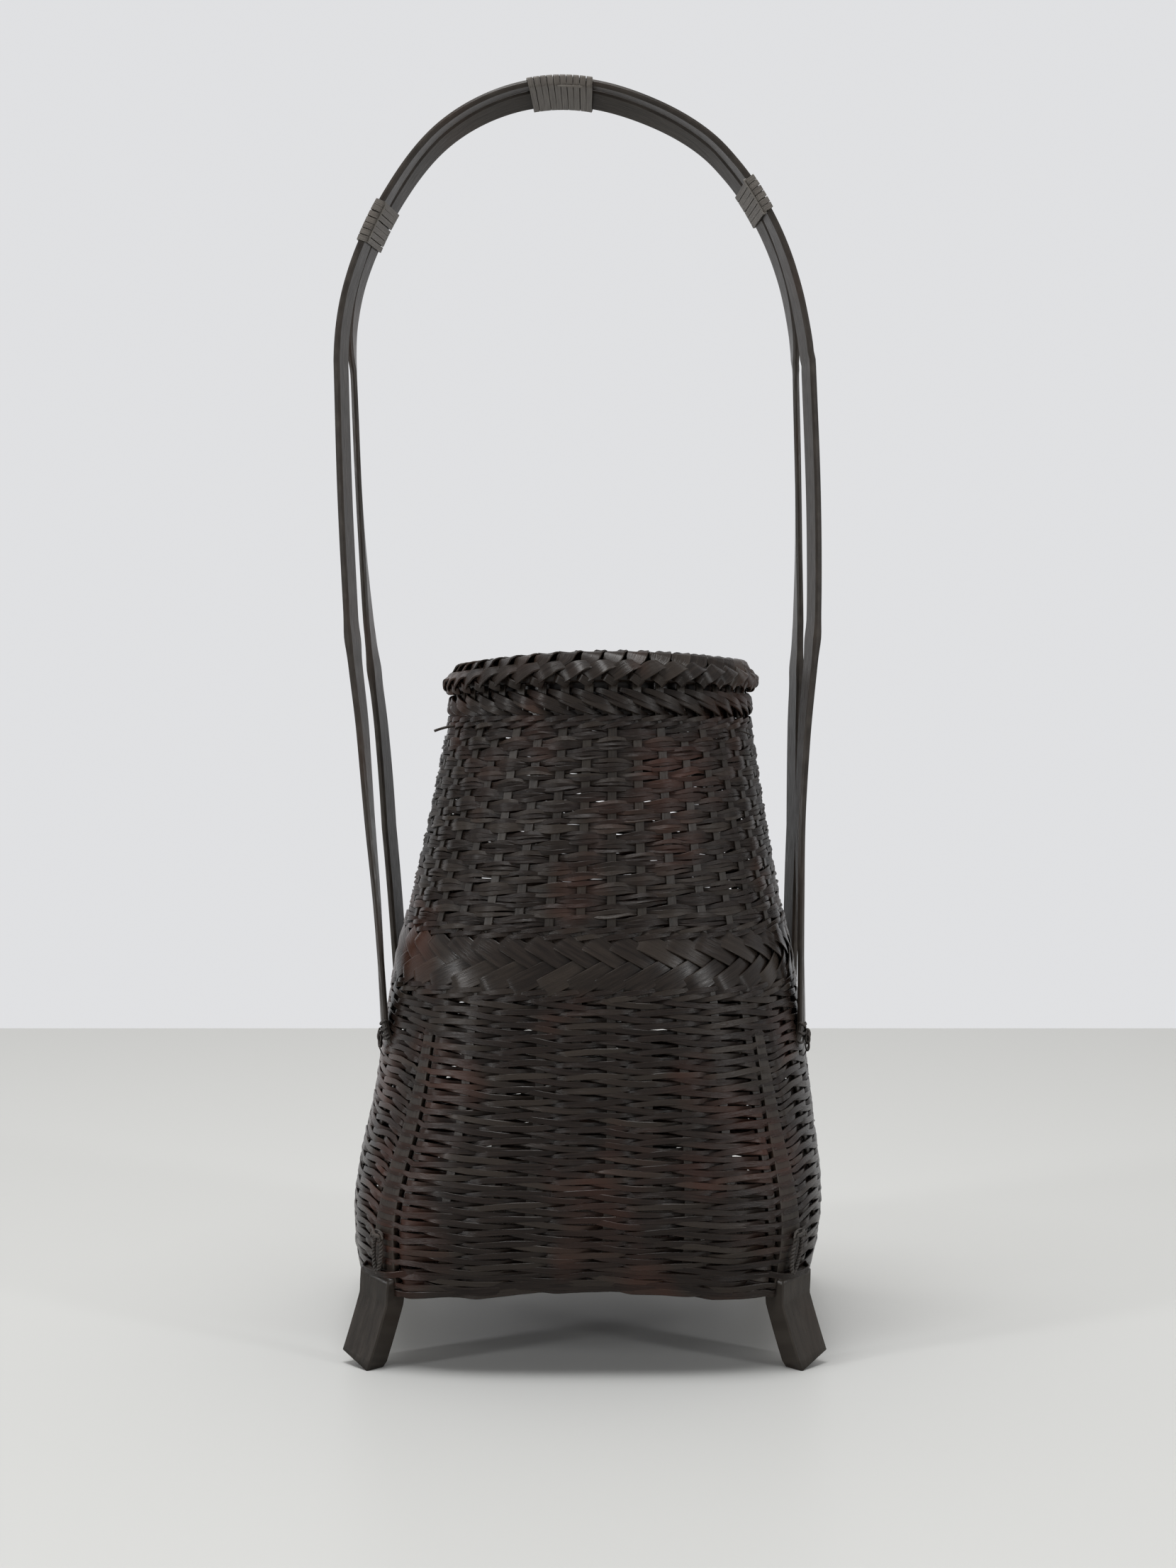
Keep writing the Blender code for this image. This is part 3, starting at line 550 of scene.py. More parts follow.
def stave_size(z):
    share = stave_share(z)
    width = STAVE_FOOT_WIDTH + (STAVE_TIP_WIDTH - STAVE_FOOT_WIDTH) * share**STAVE_TAPER_POWER
    thickness = STAVE_FOOT_THICKNESS + (STAVE_TIP_THICKNESS - STAVE_FOOT_THICKNESS) * share
    return width, thickness


def stave_sunk(z):
    """How deep the stave's inner face lies under the wall's outer surface."""
    return STAVE_SUNK - STAVE_TIP_RISE * stave_share(z)


def off_leg(turn, back, right, z, aside):
    """How far along the wall each turn is from a leg's middle line at this height (metres)."""
    centre = stave_turn(back, right, z) - right * back * aside / FOOT_RADIUS
    return np.abs((turn - centre + pi) % (2 * pi) - pi) * CORNER_RADIUS


def near_staves(turn, z):
    """1 where a strand at this height crosses a stave, fading to 0 beside it."""
    near = np.zeros_like(turn)
    if z > BODY_BOTTOM + STAVE_HEIGHT:
        return near
    half = stave_size(z)[0] / 2
    for back, right in CORNERS:
        apart = off_leg(turn, back, right, z, FOOT_SIDE_SHIFT * (1 - stave_share(z)))
        near = np.maximum(near, 1 - smooth((apart - half + STAVE_EDGE) / STAVE_EDGE_FADE))
    return near


def make_lower_wall():
    stations = 280
    place = np.arange(stations) * RIBS / stations
    turn = rib_turn(place)
    swells = [loop_noise(stations, 6) for _ in range(SLOTS // SWELL_SLOTS + 1)]
    off_side = np.abs(np.abs((turn + pi) % (2 * pi) - pi) - pi / 2) - pi / 4
    corner = smooth((0.002 - off_side * -CORNER_RADIUS) / 0.019)
    for part, name in enumerate(("lower_weave_bottom", "lower_weave_middle", "lower_weave_top")):
        weave = Weave()
        for slot in range(part * SLOTS // 3, (part + 1) * SLOTS // 3):
            base = BODY_BOTTOM + (slot + 0.1) * SLOT_HEIGHT
            swell, share = divmod(slot / SWELL_SLOTS, 1)
            drift = swells[int(swell)] * (1 - share) + swells[int(swell) + 1] * share
            near = near_staves(turn, base + SLOT_HEIGHT / 2)
            sunk = stave_sunk(base)
            # Even slots pass over the staves, and odd ones under them
            over = -(stave_size(base)[1] - sunk) - CLEARANCE - 0.00008
            stave_depth = sunk + 0.0006 if slot % 2 else over
            lift = CORNER_LIFT * smooth(slot / 9) * smooth((SLOTS - 4 - slot) / 10)
            for strand in range(2):
                first = (slot % 2) + 2 * strand + random.normal(0, 0.04)
                local = (place - (first - STRAND_LEAD)) % 4
                t = local / VISIBLE_RUN
                level = along(ODD_LEVELS if slot % 2 else EVEN_LEVELS, t)
                level = level + 0.26 * drift + 0.17 * loop_noise(stations, 44)
                shown = np.sin(pi * np.clip(t, 0, 1))
                rise = smooth(local / STRAND_RISE) * (1 - smooth((local - STRAND_FALL) / STRAND_RISE))
                depth = BEHIND_DEPTH + (FRONT_DEPTH - BEHIND_DEPTH) * rise - 0.0003 * shown
                depth = depth + 0.00015 * loop_noise(stations, 50)
                depth = depth * (1 - near) + stave_depth * near
                width = 0.8 + 0.2 * shown**0.7 + 0.08 * loop_noise(stations, 80)
                width = SLOT_HEIGHT * (width * (1 - near) + 0.6 * near)
                if slot % 2 == 0:
                    spread = 0.22 if strand else -0.22
                    level = level * (1 - near) + (0.45 + spread) * near
                # The lowest rows are wider and stand higher, over the base's hoop
                level = level + lift * corner + 0.9 * smooth((3 - slot) / 3)
                width = width * (1 + 0.3 * smooth((3 - slot) / 2))
                twist = (0.22 * loop_noise(stations, 40) + 0.14 * np.cos(pi * t)) * (1 - near)
                thickness = SPLIT_THICKNESS - STAVE_THINNING * near
                weave.lay(turn, base + level * SLOT_HEIGHT, depth, width, thickness, STRAND_SECTION,
                          is_loop=True, tilt=twist)
        if part == 0:
            add_bottom_hoops(weave, turn)
        settle(weave, name, ["lower_wall"] if part == 0 else [], "woven_bamboo")


def add_bottom_hoops(weave, turn):
    """The base's inner hoop, and a strand that passes over the tops of the feet."""
    weave.lay(turn, BODY_BOTTOM + 0.0056, 0.0032, 0.0088, 0.0008, STRIP_SECTION, 0.1, True)
    over = np.zeros_like(turn)
    for back, right in CORNERS:
        apart = off_leg(turn, back, right, FOOT_TOP, FOOT_SIDE)
        over = np.maximum(over, 1 - smooth((apart - 0.0066) / 0.0065))
    depth = 0.0004 * (1 - over) - (FOOT_OUT - WALL_PROUD + 0.0004) * over
    level = FOOT_TOP + 0.0013 + 0.0002 * loop_noise(len(turn), 24)
    weave.lay(turn, level, depth, 0.0024, 0.0009, STRAND_SECTION, 0.5, True)


# Upper wall: rows of three strands each, over one rib and under the next
ROWS = 19
ROW_HEIGHT = 0.0733 / ROWS
ROWS_TOP = UPPER_WALL_BOTTOM + ROWS * ROW_HEIGHT
WEFT_THICKNESS = 0.00056


def make_upper_wall():
    stations = 200
    place = np.arange(stations) * RIBS / stations
    turn = rib_turn(place)
    names = ("upper_weave_low", "upper_weave_middle", "upper_weave_high")
    weaves = [Weave(), Weave(), Weave()]
    for row in range(ROWS):
        middle = UPPER_WALL_BOTTOM + (row + 0.5) * ROW_HEIGHT
        wave = np.cos(pi * (place + row % 2))
        drift = 0.0003 * loop_noise(stations, 24)
        for strand in (-1, 0, 1):
            skew = 0.35 * loop_noise(stations, 30)
            depth = RIB_DEPTH - 0.00025 - 0.00092 * wave + 0.0001 * loop_noise(stations, 60)
            lean = np.sin(pi * (place + row % 2)) * (0.0003 + 0.00025 * loop_noise(stations, 20))
            level = strand * (0.00134 + 0.00038 * wave) + skew * 0.001 + drift + lean
            width = 0.0016 + 0.00028 * wave + 0.00026 * loop_noise(stations, 60)
            twist = 0.45 * loop_noise(stations, 40)
            weaves[strand + 1].lay(turn, middle + level, depth, width, WEFT_THICKNESS, STRAND_SECTION,
                                   is_loop=True, tilt=twist)
    for name, weave in zip(names, weaves):
        settle(weave, name, ["upper_wall"] if name == names[0] else [], "woven_bamboo")


RIB_WIDTH, RIB_THICKNESS = 0.0034, 0.0008
# The ribs' height over the base, and how much higher those that cross the others lie
BASE_LEVEL, CROSSING_LIFT = 0.0385, 0.0013
# The part of the wall's width that a rib spans over the base
BASE_REACH = 0.93


def make_ribs():
    """Each rib runs down one wall, straight over the base and up the opposite wall."""
    levels = np.linspace(BRAID_BOTTOM + 0.004, BODY_BOTTOM + 0.016, 46)
    flat_shares = np.linspace(0, 1, 30)[:, None]
    for way, first, lift in (("across", -pi / 4, 0.0), ("along", pi / 4, CROSSING_LIFT)):
        base = np.array((0, 0, BASE_LEVEL + lift))
        for i in range(10):
            turn = first + (i + 0.5) * (pi / 2 / 10)
            mirrored = pi - turn if way == "across" else -turn
            down, down_normals = lay(turn, levels, RIB_DEPTH)
            up, up_normals = lay(mirrored, levels[::-1], RIB_DEPTH)
            start = down[-1] * np.array((BASE_REACH, BASE_REACH, 0)) + base
            end = up[0] * np.array((BASE_REACH, BASE_REACH, 0)) + base
            flat = start + (end - start) * flat_shares
            normals = np.vstack((down_normals, np.tile(-UP, (len(flat), 1)), up_normals))
            weave = Weave()
            weave.add(np.vstack((down, flat, up)), normals, RIB_WIDTH, RIB_THICKNESS, STRIP_SECTION)
            settle(weave, f"rib_{way}_{i + 1:02d}", [f"stake_{way}_{i + 1:02d}"], "split_bamboo")


# Tables over the length of each short strand, as (share, metres)
TWINED_DEPTHS = (
    (0, 0.003), (0.12, 0.002), (0.3, 0.0003), (0.5, -0.0004), (0.7, 0.0003), (0.88, 0.002),
    (1, 0.003),
)
TWINED_WIDTHS = ((0, 0.001), (0.25, 0.0018), (0.5, 0.0021), (0.75, 0.0018), (1, 0.001))
BAND_STRIPS = 46
BAND_STRIP_WIDTH = 0.0078
BAND_DEPTHS = (
    (0, 0.0022), (0.1, 0.0011), (0.2, -0.0003), (0.32, -0.0006), (0.6, -0.0004), (0.8, 0.0003), (1, 0.0016),
)
COLLAR_LEVELS = ((0, 0.0098), (0.2, 0.0088), (0.5, 0.0062), (0.8, 0.0036), (1, 0.0026))
COLLAR_DEPTHS = (
    (0, 0.0034), (0.12, 0.0016), (0.28, -0.0002), (0.5, -0.001), (0.72, -0.0002), (0.88, 0.0016),
    (1, 0.0034),
)
COLLAR_WIDTHS = ((0, 0.0014), (0.25, 0.0026), (0.5, 0.003), (0.75, 0.0026), (1, 0.0014))
FOLD_DEPTHS = ((0, 0.0014), (0.12, 0.0002), (0.3, -0.0005), (0.7, -0.0002), (1, 0.0009))
FOLD_WIDTHS = ((0, 0.0026), (0.15, 0.0048), (0.4, 0.006), (0.75, 0.0058), (0.9, 0.0044), (1, 0.0024))
CREST_DEPTHS = ((0, 0.0016), (0.12, 0.0004), (0.3, -0.0003), (0.8, 0), (1, 0.0008))
CREST_WIDTHS = ((0, 0.004), (0.2, 0.0072), (0.5, 0.008), (0.85, 0.0076), (1, 0.005))


def strand_row(weave, starts, levels, depths, widths, thickness, span=2.1, tilt=None):
    """Short strands on the wall: levels, depths and widths are tables over each strand's length."""
    t = np.linspace(0, 1, 18)
    for start in starts:
        turn = rib_turn(start + random.normal(0, 0.03) + span * t)
        level = along(levels, t) + random.normal(0, 0.00008)
        width = along(widths, t) * random.uniform(0.93, 1.07)
        weave.lay(turn, level, along(depths, t), width, thickness, STRAND_SECTION, tilt=tilt)


def twined_rows(weave, bottom, row_height, rows):
    """Rows of strands that climb to the right, each from behind one rib to behind the next but one."""
    for row in range(rows):
        low = bottom + row * row_height
        levels = (
            (0.0, low - 0.0002), (0.25, low + 0.0003), (0.5, low + row_height / 2),
            (0.75, low + row_height - 0.0003), (1.0, low + row_height + 0.0002),
        )
        strand_row(weave, np.arange(RIBS) - 0.8 + 0.45 * row, levels, TWINED_DEPTHS, TWINED_WIDTHS, 0.0008)


def make_twinings():
    for name, bottom in (("lower_twining", LOWER_TWINING_BOTTOM), ("upper_twining", UPPER_TWINING_BOTTOM)):
        weave = Weave()
        twined_rows(weave, bottom, TWINING_HEIGHT / 2, 2)
        if name == "upper_twining":
            twined_rows(weave, ROWS_TOP + 0.0001, 0.0021, 2)
        settle(weave, name + "_rows", [name], "woven_bamboo")


def make_band():
    """Strips that run from the band's edges to its middle, pointing to the right."""
    middle = BAND_BOTTOM + BAND_HEIGHT / 2
    weave = Weave()
    t = np.linspace(0, 1, 20)
    reach = BAND_HEIGHT / 2 + 0.0022
    taper = 1 - 0.35 * smooth((t - 0.8) / 0.2)
    for i in range(BAND_STRIPS):
        for side in (1, -1):
            start = (i + (0.0 if side > 0 else 0.5)) * RIBS / BAND_STRIPS + random.normal(0, 0.02)
            turn = rib_turn(start + t * 1.85)
            level = middle + side * (reach * (1 - t) - 0.0016 * t) + random.normal(0, 0.0001)
            width = BAND_STRIP_WIDTH * random.uniform(0.96, 1.04) * taper
            depth = along(BAND_DEPTHS, t) + 0.0002
            weave.lay(turn, level, depth, width, 0.0005, STRIP_SECTION, tilt=side * 0.12)
    weave.lay(RING, middle, 0.0026, BAND_HEIGHT, 0.0008, STRIP_SECTION, 0.1, True)
    settle(weave, "band_plait", ["middle_band"], "plaited_bamboo")


def make_collar():
    """Two rows of strands that fall to the right, over a hoop."""
    weave = Weave()
    for row, drop in enumerate((0.0, 0.0022)):
        levels = [(share, COLLAR_BOTTOM + level - drop) for share, level in COLLAR_LEVELS]
        starts = np.arange(RIBS) + 0.1 + 0.12 * row
        strand_row(weave, starts, levels, COLLAR_DEPTHS, COLLAR_WIDTHS, 0.001, 2.3, 0.1 + 0.12 * row)
    weave.lay(RING, COLLAR_BOTTOM + 0.005, 0.0034, 0.01, 0.0014, STRIP_SECTION, 0.1, True)
    settle(weave, "collar_wale", ["rim_collar"], "plaited_bamboo")


def make_rim():
    """The braid: for each rib a front strip, its end over the crest, and the fold under its lower end."""
    braid = Weave()
    t = np.linspace(0, 1, 22)
    front = along(FOLD_DEPTHS, t)
    # (start past the rib, run in ribs, start on the section, climb, bow, depth, width, tilt)
    strips = (
        (-0.25, 1.5, 0.155, 0.265, 0.02, front, along(FOLD_WIDTHS, t), 0.15),
        (0.7, 0.95, 0.37, 0.6, 0.0, along(CREST_DEPTHS, t), along(CREST_WIDTHS, t), 0.15),
        (-0.42, 0.55, 0.2, -0.09, 0.0, front + 0.0004, 0.0032, -0.15),
    )
    for i in range(RIBS):
        tone = random.random()
        start = i + random.normal(0, 0.05)
        for lag, span, low, climb, bow, depth, width, tilt in strips:
            share = low + climb * t + bow * np.sin(pi * t)
            turn = rib_turn(start + lag + span * t)
            braid.lay(turn, share, depth, width, 0.0008, STRIP_SECTION, tone, surface=rim_surface, tilt=tilt)
    outward = np.stack((np.cos(RING), np.sin(RING), np.zeros(len(RING))), axis=1)
    # The core rings, as (height, inset, width, thickness)
    for z, inset, width, thickness in ((0.0072, 0.0034, 0.008, 0.0052), (0.001, 0.0058, 0.013, 0.0012)):
        ring = body_point(RING, BRAID_BOTTOM + z, inset)
        braid.add(ring, outward, width, thickness, round_section(10, 0.7), 0.05, True)
    settle(braid, "rim_braid_strips", ["rim_braid"], "plaited_bamboo")


BASE_STRIPS = 22
BASE_POWER = 4.0


def make_base():
    """Strips each way, over one and under the next, cut to the rounded square of the base."""
    weave = Weave()
    low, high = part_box("base_panel")
    centre = (low + high) / 2
    centre = np.array((centre.x, centre.y, (low.z + high.z) / 2))
    reach = (high.x - low.x) / 2
    spacing = 2 * reach / BASE_STRIPS
    for way in (0, 1):
        for i in range(BASE_STRIPS):
            off = (i + 0.5) / BASE_STRIPS * 2 - 1
            half = reach * (1 - abs(off) ** BASE_POWER) ** (1 / BASE_POWER)
            s = np.linspace(-half, half, 90)
            other = np.full(len(s), off * reach)
            wave = np.cos(pi * (s / spacing + i + 0.5 + way)) * 0.0005
            centres = np.stack((other, s, wave) if way else (s, other, wave), axis=1) + centre
            weave.add(centres, UP, spacing * 0.92, 0.0007, STRIP_SECTION)
    settle(weave, "base_plait", ["base_panel"], "plaited_bamboo")


def leg_frame(right, back, z):
    """(points on the wall, directions across towards the side, outward directions) at these heights."""
    turn = stave_turn(back, right, z)
    wall_z = np.maximum(z, BODY_BOTTOM)
    point = body_point(turn, wall_z)
    around = body_point(turn + 0.01, wall_z) - body_point(turn - 0.01, wall_z)
    outward = unit(np.cross(around, UP))
    across = unit(np.cross(UP, outward))
    across = across * np.sign(across[..., :1] * right)
    point[..., 2] = z
    point = point + across * (FOOT_SIDE_SHIFT * (1 - stave_share(z)))[..., None]
    return point, across, outward


def make_leg(name, right, back):
    """A stave woven in to the corner, over a thick foot that splays outward and to its side."""
    tone = random.random()
    weave = Weave()
    z = np.linspace(BODY_BOTTOM + STAVE_HEIGHT, FOOT_TOP - 0.004, 36)
    point, _, outward = leg_frame(right, back, z)
    width, thickness = stave_size(z)
    face = CLEARANCE + WALL_PROUD + thickness - stave_sunk(z)
    centres = point + outward * (face - thickness / 2)[:, None]
    weave.add(centres, outward, width, thickness, BLOCK_SECTION, tone)

    z = np.append(np.linspace(FOOT_TOP, FOOT_CORNER_CUT + 0.0015, 16), 0.0)
    point, across, outward = leg_frame(right, back, np.maximum(z, BODY_BOTTOM))
    point[:, 2] = z
    below = np.clip(1 - z / FOOT_TOP, 0, 1) ** FOOT_SPLAY_POWER
    face = FOOT_OUT + (FOOT_SPLAY - FOOT_OUT) * below
    aside = FOOT_SIDE + (FOOT_SIDE_SPLAY - FOOT_SIDE) * below
    centres = point + outward * (face - FOOT_DEPTH / 2)[:, None] + across * aside[:, None]
    weave.add(centres, outward, FOOT_WIDTH, FOOT_DEPTH, BLOCK_SECTION, tone)
    foot = weave.points[1].reshape(len(z), len(BLOCK_SECTION), 3)
    # The foot's end is cut so that it stands on its inner edge and ridge
    side = ((foot[-1] - centres[-1]) @ across[-1]) / (FOOT_WIDTH / 2)
    lift = FOOT_CORNER_CUT * np.clip(side + 0.6, 0, 1.6) / 1.6
    foot[-1] += (foot[-2] - foot[-1]) * (lift / z[-2])[:, None]
    foot[..., 2] = np.maximum(foot[..., 2], 0.0)
    settle(weave, name + "_split", [name], "split_bamboo")


HANDLE_CENTRE = BODY_LEAN * height_share(HANDLE_END)


def strip_y(share):
    """A strip's distance from the middle plane, from its end (0) to the spring (1) and the top (2)."""
    beside = STRIP_WIDTH / 2 + STRIP_EDGE_GAP / 2
    reached = np.minimum(share / SPREAD_END_SHARE, 1.0)
    return beside + (STRIP_SPREAD - beside) * (1 - reached) ** SPREAD_POWER


def end_half_span(tilt, back):
    """Half span at the strip's end, where the strip just clears the wall on both of its edges."""
    reach = STRIP_WIDTH / 2 * cos(tilt)
    share = height_share(HANDLE_END)
    power = float(along(SECTION_POWER_SHARES, share))
    half = BODY_HALF_WIDTH * float(along(PROFILE_SHARES, share))
    spans = []
    for edge in (-1, 1):
        y = STRIP_SPREAD * back + edge * reach
        wall = half * (1 - (abs(y) / half) ** power) ** (1 / power)
        spans.append(wall + edge * STRIP_WIDTH / 2 * sin(tilt))
    return max(spans) + CLEARANCE + STRIP_THICKNESS / 2 / cos(tilt)


def strip_tilt(back, way):
    return np.radians(along(BACK_TILT_SHARES if back > 0 else FRONT_TILT_SHARES, way))


def leg_half_span(share, back):
    """Half span of a strip's leg, eased to where its end meets the wall."""
    drawn_in = np.clip((share - INSET_START_SHARE) / INSET_SPAN_SHARE, 0.0, 1.0)
    inset = back_inset(LEG_WAY_SHARE, 1) * drawn_in if back > 0 else 0.0
    seat = end_half_span(float(strip_tilt(back, 0.0)), back)
    ease = np.maximum(0.0, 1 - share / LEG_SPAN_SHARES[2][0])
    shift = seat - HANDLE_HALF_SPAN * LEG_SPAN_SHARES[0][1]
    return HANDLE_HALF_SPAN * along(LEG_SPAN_SHARES, share) - inset + shift * ease


def leg_point(side, back, share):
    """The centre of a strip's leg, from its end (0) to the spring of the arch (1)."""
    share = np.asarray(share, float)
    z = HANDLE_END + (HANDLE_SPRING - HANDLE_END) * share
    x = HANDLE_CENTRE - HANDLE_LEAN * share + side * leg_half_span(share, back)
    x = x + sway(back, share * LEG_WAY_SHARE) - side * STRIP_TUCK * smooth((0.03 - share) / 0.055)
    return np.stack((x, back * strip_y(share), z), axis=-1) + SHIFT


def sway(back, way):
    """How far a strip, or the middle between them for back 0, stands to the right of the handle's line."""
    front, behind = along(FRONT_SWAY_SHARES, way), along(BACK_SWAY_SHARES, way)
    return front * (1 - back) / 2 + behind * (1 + back) / 2


def back_inset(way, back):
    """How far a strip, or the line between both strips for back 0, lies inside the front strip."""
    return along(INSET_WAY_SHARES, way) * (back + 1) / 2


def arch_point(angle, back):
    """The centre of a strip on the arch, or between both strips for back 0."""
    angle = np.asarray(angle, float)
    inset = back_inset(arch_way(angle), back)
    rise = HANDLE_HEIGHT - STRIP_THICKNESS / 2 - STRIP_CROWN - HANDLE_SPRING - inset
    x = HANDLE_CENTRE - HANDLE_LEAN + (HANDLE_HALF_SPAN - inset) * np.cos(angle)
    x = x + sway(back, arch_way(angle)) + along(ARCH_SIDE_SHARES, angle / pi)
    y = back * strip_y(1 + np.sin(angle))
    z = HANDLE_SPRING + rise * np.sin(angle) + along(ARCH_RISE_SHARES, angle / pi)
    return np.stack((x, y, z), axis=-1) + SHIFT


def arch_way(angle):
    """The share of the way from a strip's end to the top, at an angle on the arch."""
    climb = 1 - np.abs(angle - pi / 2) / (pi / 2)
    return LEG_WAY_SHARE + (1 - LEG_WAY_SHARE) * climb


def strip_axes(tangent, tilt):
    """(directions across a strip towards the back, outward face directions)."""
    outward = unit(np.cross(tangent, BACKWARD))
    return turned(unit(np.cross(outward, tangent)), outward, np.asarray(tilt))


def make_handle_strip(name, back):
    leg = np.linspace(-0.045, 1, 116)
    angles = np.linspace(pi, 0, 120)[1:-1]
    left, right = leg_point(-1, back, leg), leg_point(1, back, leg[::-1])
    centres = np.vstack((left, arch_point(angles, back), right))
    way = np.concatenate((leg * LEG_WAY_SHARE, arch_way(angles), leg[::-1] * LEG_WAY_SHARE))
    shares = np.concatenate((leg, np.ones(len(angles)), leg[::-1]))
    node = BACK_NODE_SHARE if back > 0 else FRONT_NODE_SHARE
    swell = NODE_SWELL * np.exp(-(((shares - node) / NODE_LENGTH_SHARE) ** 2))
    tangent = unit(np.gradient(centres, axis=0))
    outward = strip_axes(tangent, strip_tilt(back, way))[1]
    thickness = STRIP_THICKNESS + STRIP_CROWN + swell
    weave = Weave()
    weave.add(centres, outward, STRIP_WIDTH + swell, thickness, plank(0.9, 0.3), 0.4)
    settle(weave, name + "_split", [name], "split_bamboo")


def arch_frame(angle):
    """(points between the strips, directions to the right along the arch, outward directions)."""
    tangent = unit(arch_point(angle - 0.01, 0) - arch_point(angle + 0.01, 0))
    return arch_point(angle, 0), tangent, unit(np.cross(tangent, BACKWARD))


def bundle_outline(angle, offset, count):
    """Points round both strips at an angle on the arch, as (depth, outward) from between them."""
    middle, tangent, outward = arch_frame(angle)
    corners = []
    for back in (-1, 1):
        across, face = strip_axes(tangent, strip_tilt(back, arch_way(angle)))
        centre = arch_point(angle, back) - middle
        for side in (-1, 1):
            for out in (-1, 1):
                corner = centre + across * side * STRIP_WIDTH / 2 + face * out * STRIP_THICKNESS / 2
                corners.append((corner[1], corner @ outward))
    corners = np.array(corners)
    turns = np.linspace(0.0, 2 * pi, 721)[:-1]
    directions = np.stack((np.cos(turns), np.sin(turns)), axis=1)
    line = corners[(directions @ corners.T).argmax(axis=1)] + directions * offset
    line = np.vstack((line, line[:1]))
    run = run_along(line, CORNER_POINTS * turns[1])
    wanted = np.linspace(0.0, run[-1], count + 1)[:-1]
    return np.stack((np.interp(wanted, run, line[:, 0]), np.interp(wanted, run, line[:, 1])), axis=1)


def make_lashing(name, middle_angle, loops, end_from, end_to):
    """Flat cane wound round both strips, with one end laid along the outside of the turns."""
    weave = Weave()
    step = np.linalg.norm(arch_point(middle_angle + 0.01, 0) - arch_point(middle_angle - 0.01, 0)) / 0.02
    outline = bundle_outline(middle_angle, CANE_OFFSET, LOOP_POINTS)
    around = np.roll(outline, -1, axis=0) - np.roll(outline, 1, axis=0)
    i = np.arange(loops * LOOP_POINTS + 1)
    wander = np.interp(i, i[::LOOP_POINTS], random.normal(0, 0.00016, loops + 1))
    angle = middle_angle - ((i / LOOP_POINTS - loops / 2) * LASHING_PITCH + wander) / step
    middle, _, outward = arch_frame(angle)
    depth, out = outline[i % LOOP_POINTS].T[..., None]
    depth_step, out_step = around[i % LOOP_POINTS].T[..., None]
    normals = unit(BACKWARD * out_step - outward * depth_step)
    weave.add(middle + BACKWARD * depth + outward * out, normals, 0.0023, 0.0009, STRIP_SECTION, 0.6)
    # The end of the cane, over the turns on the front strip's outer side
    middle, _, outward = arch_frame(middle_angle - np.linspace(end_from, end_to, 24) / step)
    depth, out = outline[int(LOOP_POINTS * 0.62)]
    centres = middle + BACKWARD * depth + outward * out - BACKWARD * 0.0008 + outward * 0.0006
    weave.add(centres, unit(outward * 0.6 - BACKWARD), 0.003, 0.0008, STRIP_SECTION, 0.9)
    settle(weave, name + "_cane", [name], "grey_cane")


def twisted(weave, path, radius, thickness, turns, tone):
    """Two plies twisted round each other along a path."""
    run = run_along(path)
    wanted = np.linspace(0, run[-1], max(24, int(turns * 14)))
    path = np.stack([np.interp(wanted, run, path[:, k]) for k in range(3)], axis=1)
    tangent = unit(np.gradient(path, axis=0))
    first = unit(np.cross(tangent, ANY_WAY))
    second = np.cross(tangent, first)
    angle = np.linspace(0, 2 * pi * turns, len(path))[:, None]
    for ply in (0, pi):
        off = first * np.cos(angle + ply) + second * np.sin(angle + ply)
        weave.cord(path + off * radius, off, thickness, tone + ply * 0.1)


def make_leg_tie(weave, centre, outward, across, lean):
    """A narrow hanging loop of twisted cord, knotted at its top."""
    t = np.linspace(0.04, 0.96, 60)[:, None] * 2 * pi
    u = np.sin(t) * (0.002 + 0.0006 * np.cos(t))
    v = 0.0072 * np.cos(t)
    path = centre + across * (u - lean * v) + UP * (v - 0.0008) + outward * 0.0006
    twisted(weave, path, 0.00042, 0.001, 11, 0.4)
    top = centre + UP * 0.0064 - across * lean * 0.0064 + outward * 0.0008
    s = np.linspace(0, 2 * pi * 0.95, 24)[:, None]
    for turn in range(3):
        tipped = 0.5 * turn - 0.4
        ring = across * (np.cos(s) * 0.0021) + outward * (np.sin(s) * 0.0013)
        ring = ring + UP * (np.sin(s + turn) * 0.001 + tipped * 0.0012)
        weave.cord(top + ring, unit(ring), 0.0011)
    s = np.linspace(0, 1, 14)[:, None]
    for way in (-1, 1):
        rise = 0.001 + 0.0022 * s * (1 - s) * 2 - 0.002 * s
        bend = across * way * (0.0012 + 0.0022 * s) + UP * rise
        weave.cord(top + bend + outward * 0.0004, outward, 0.0009, 0.7)


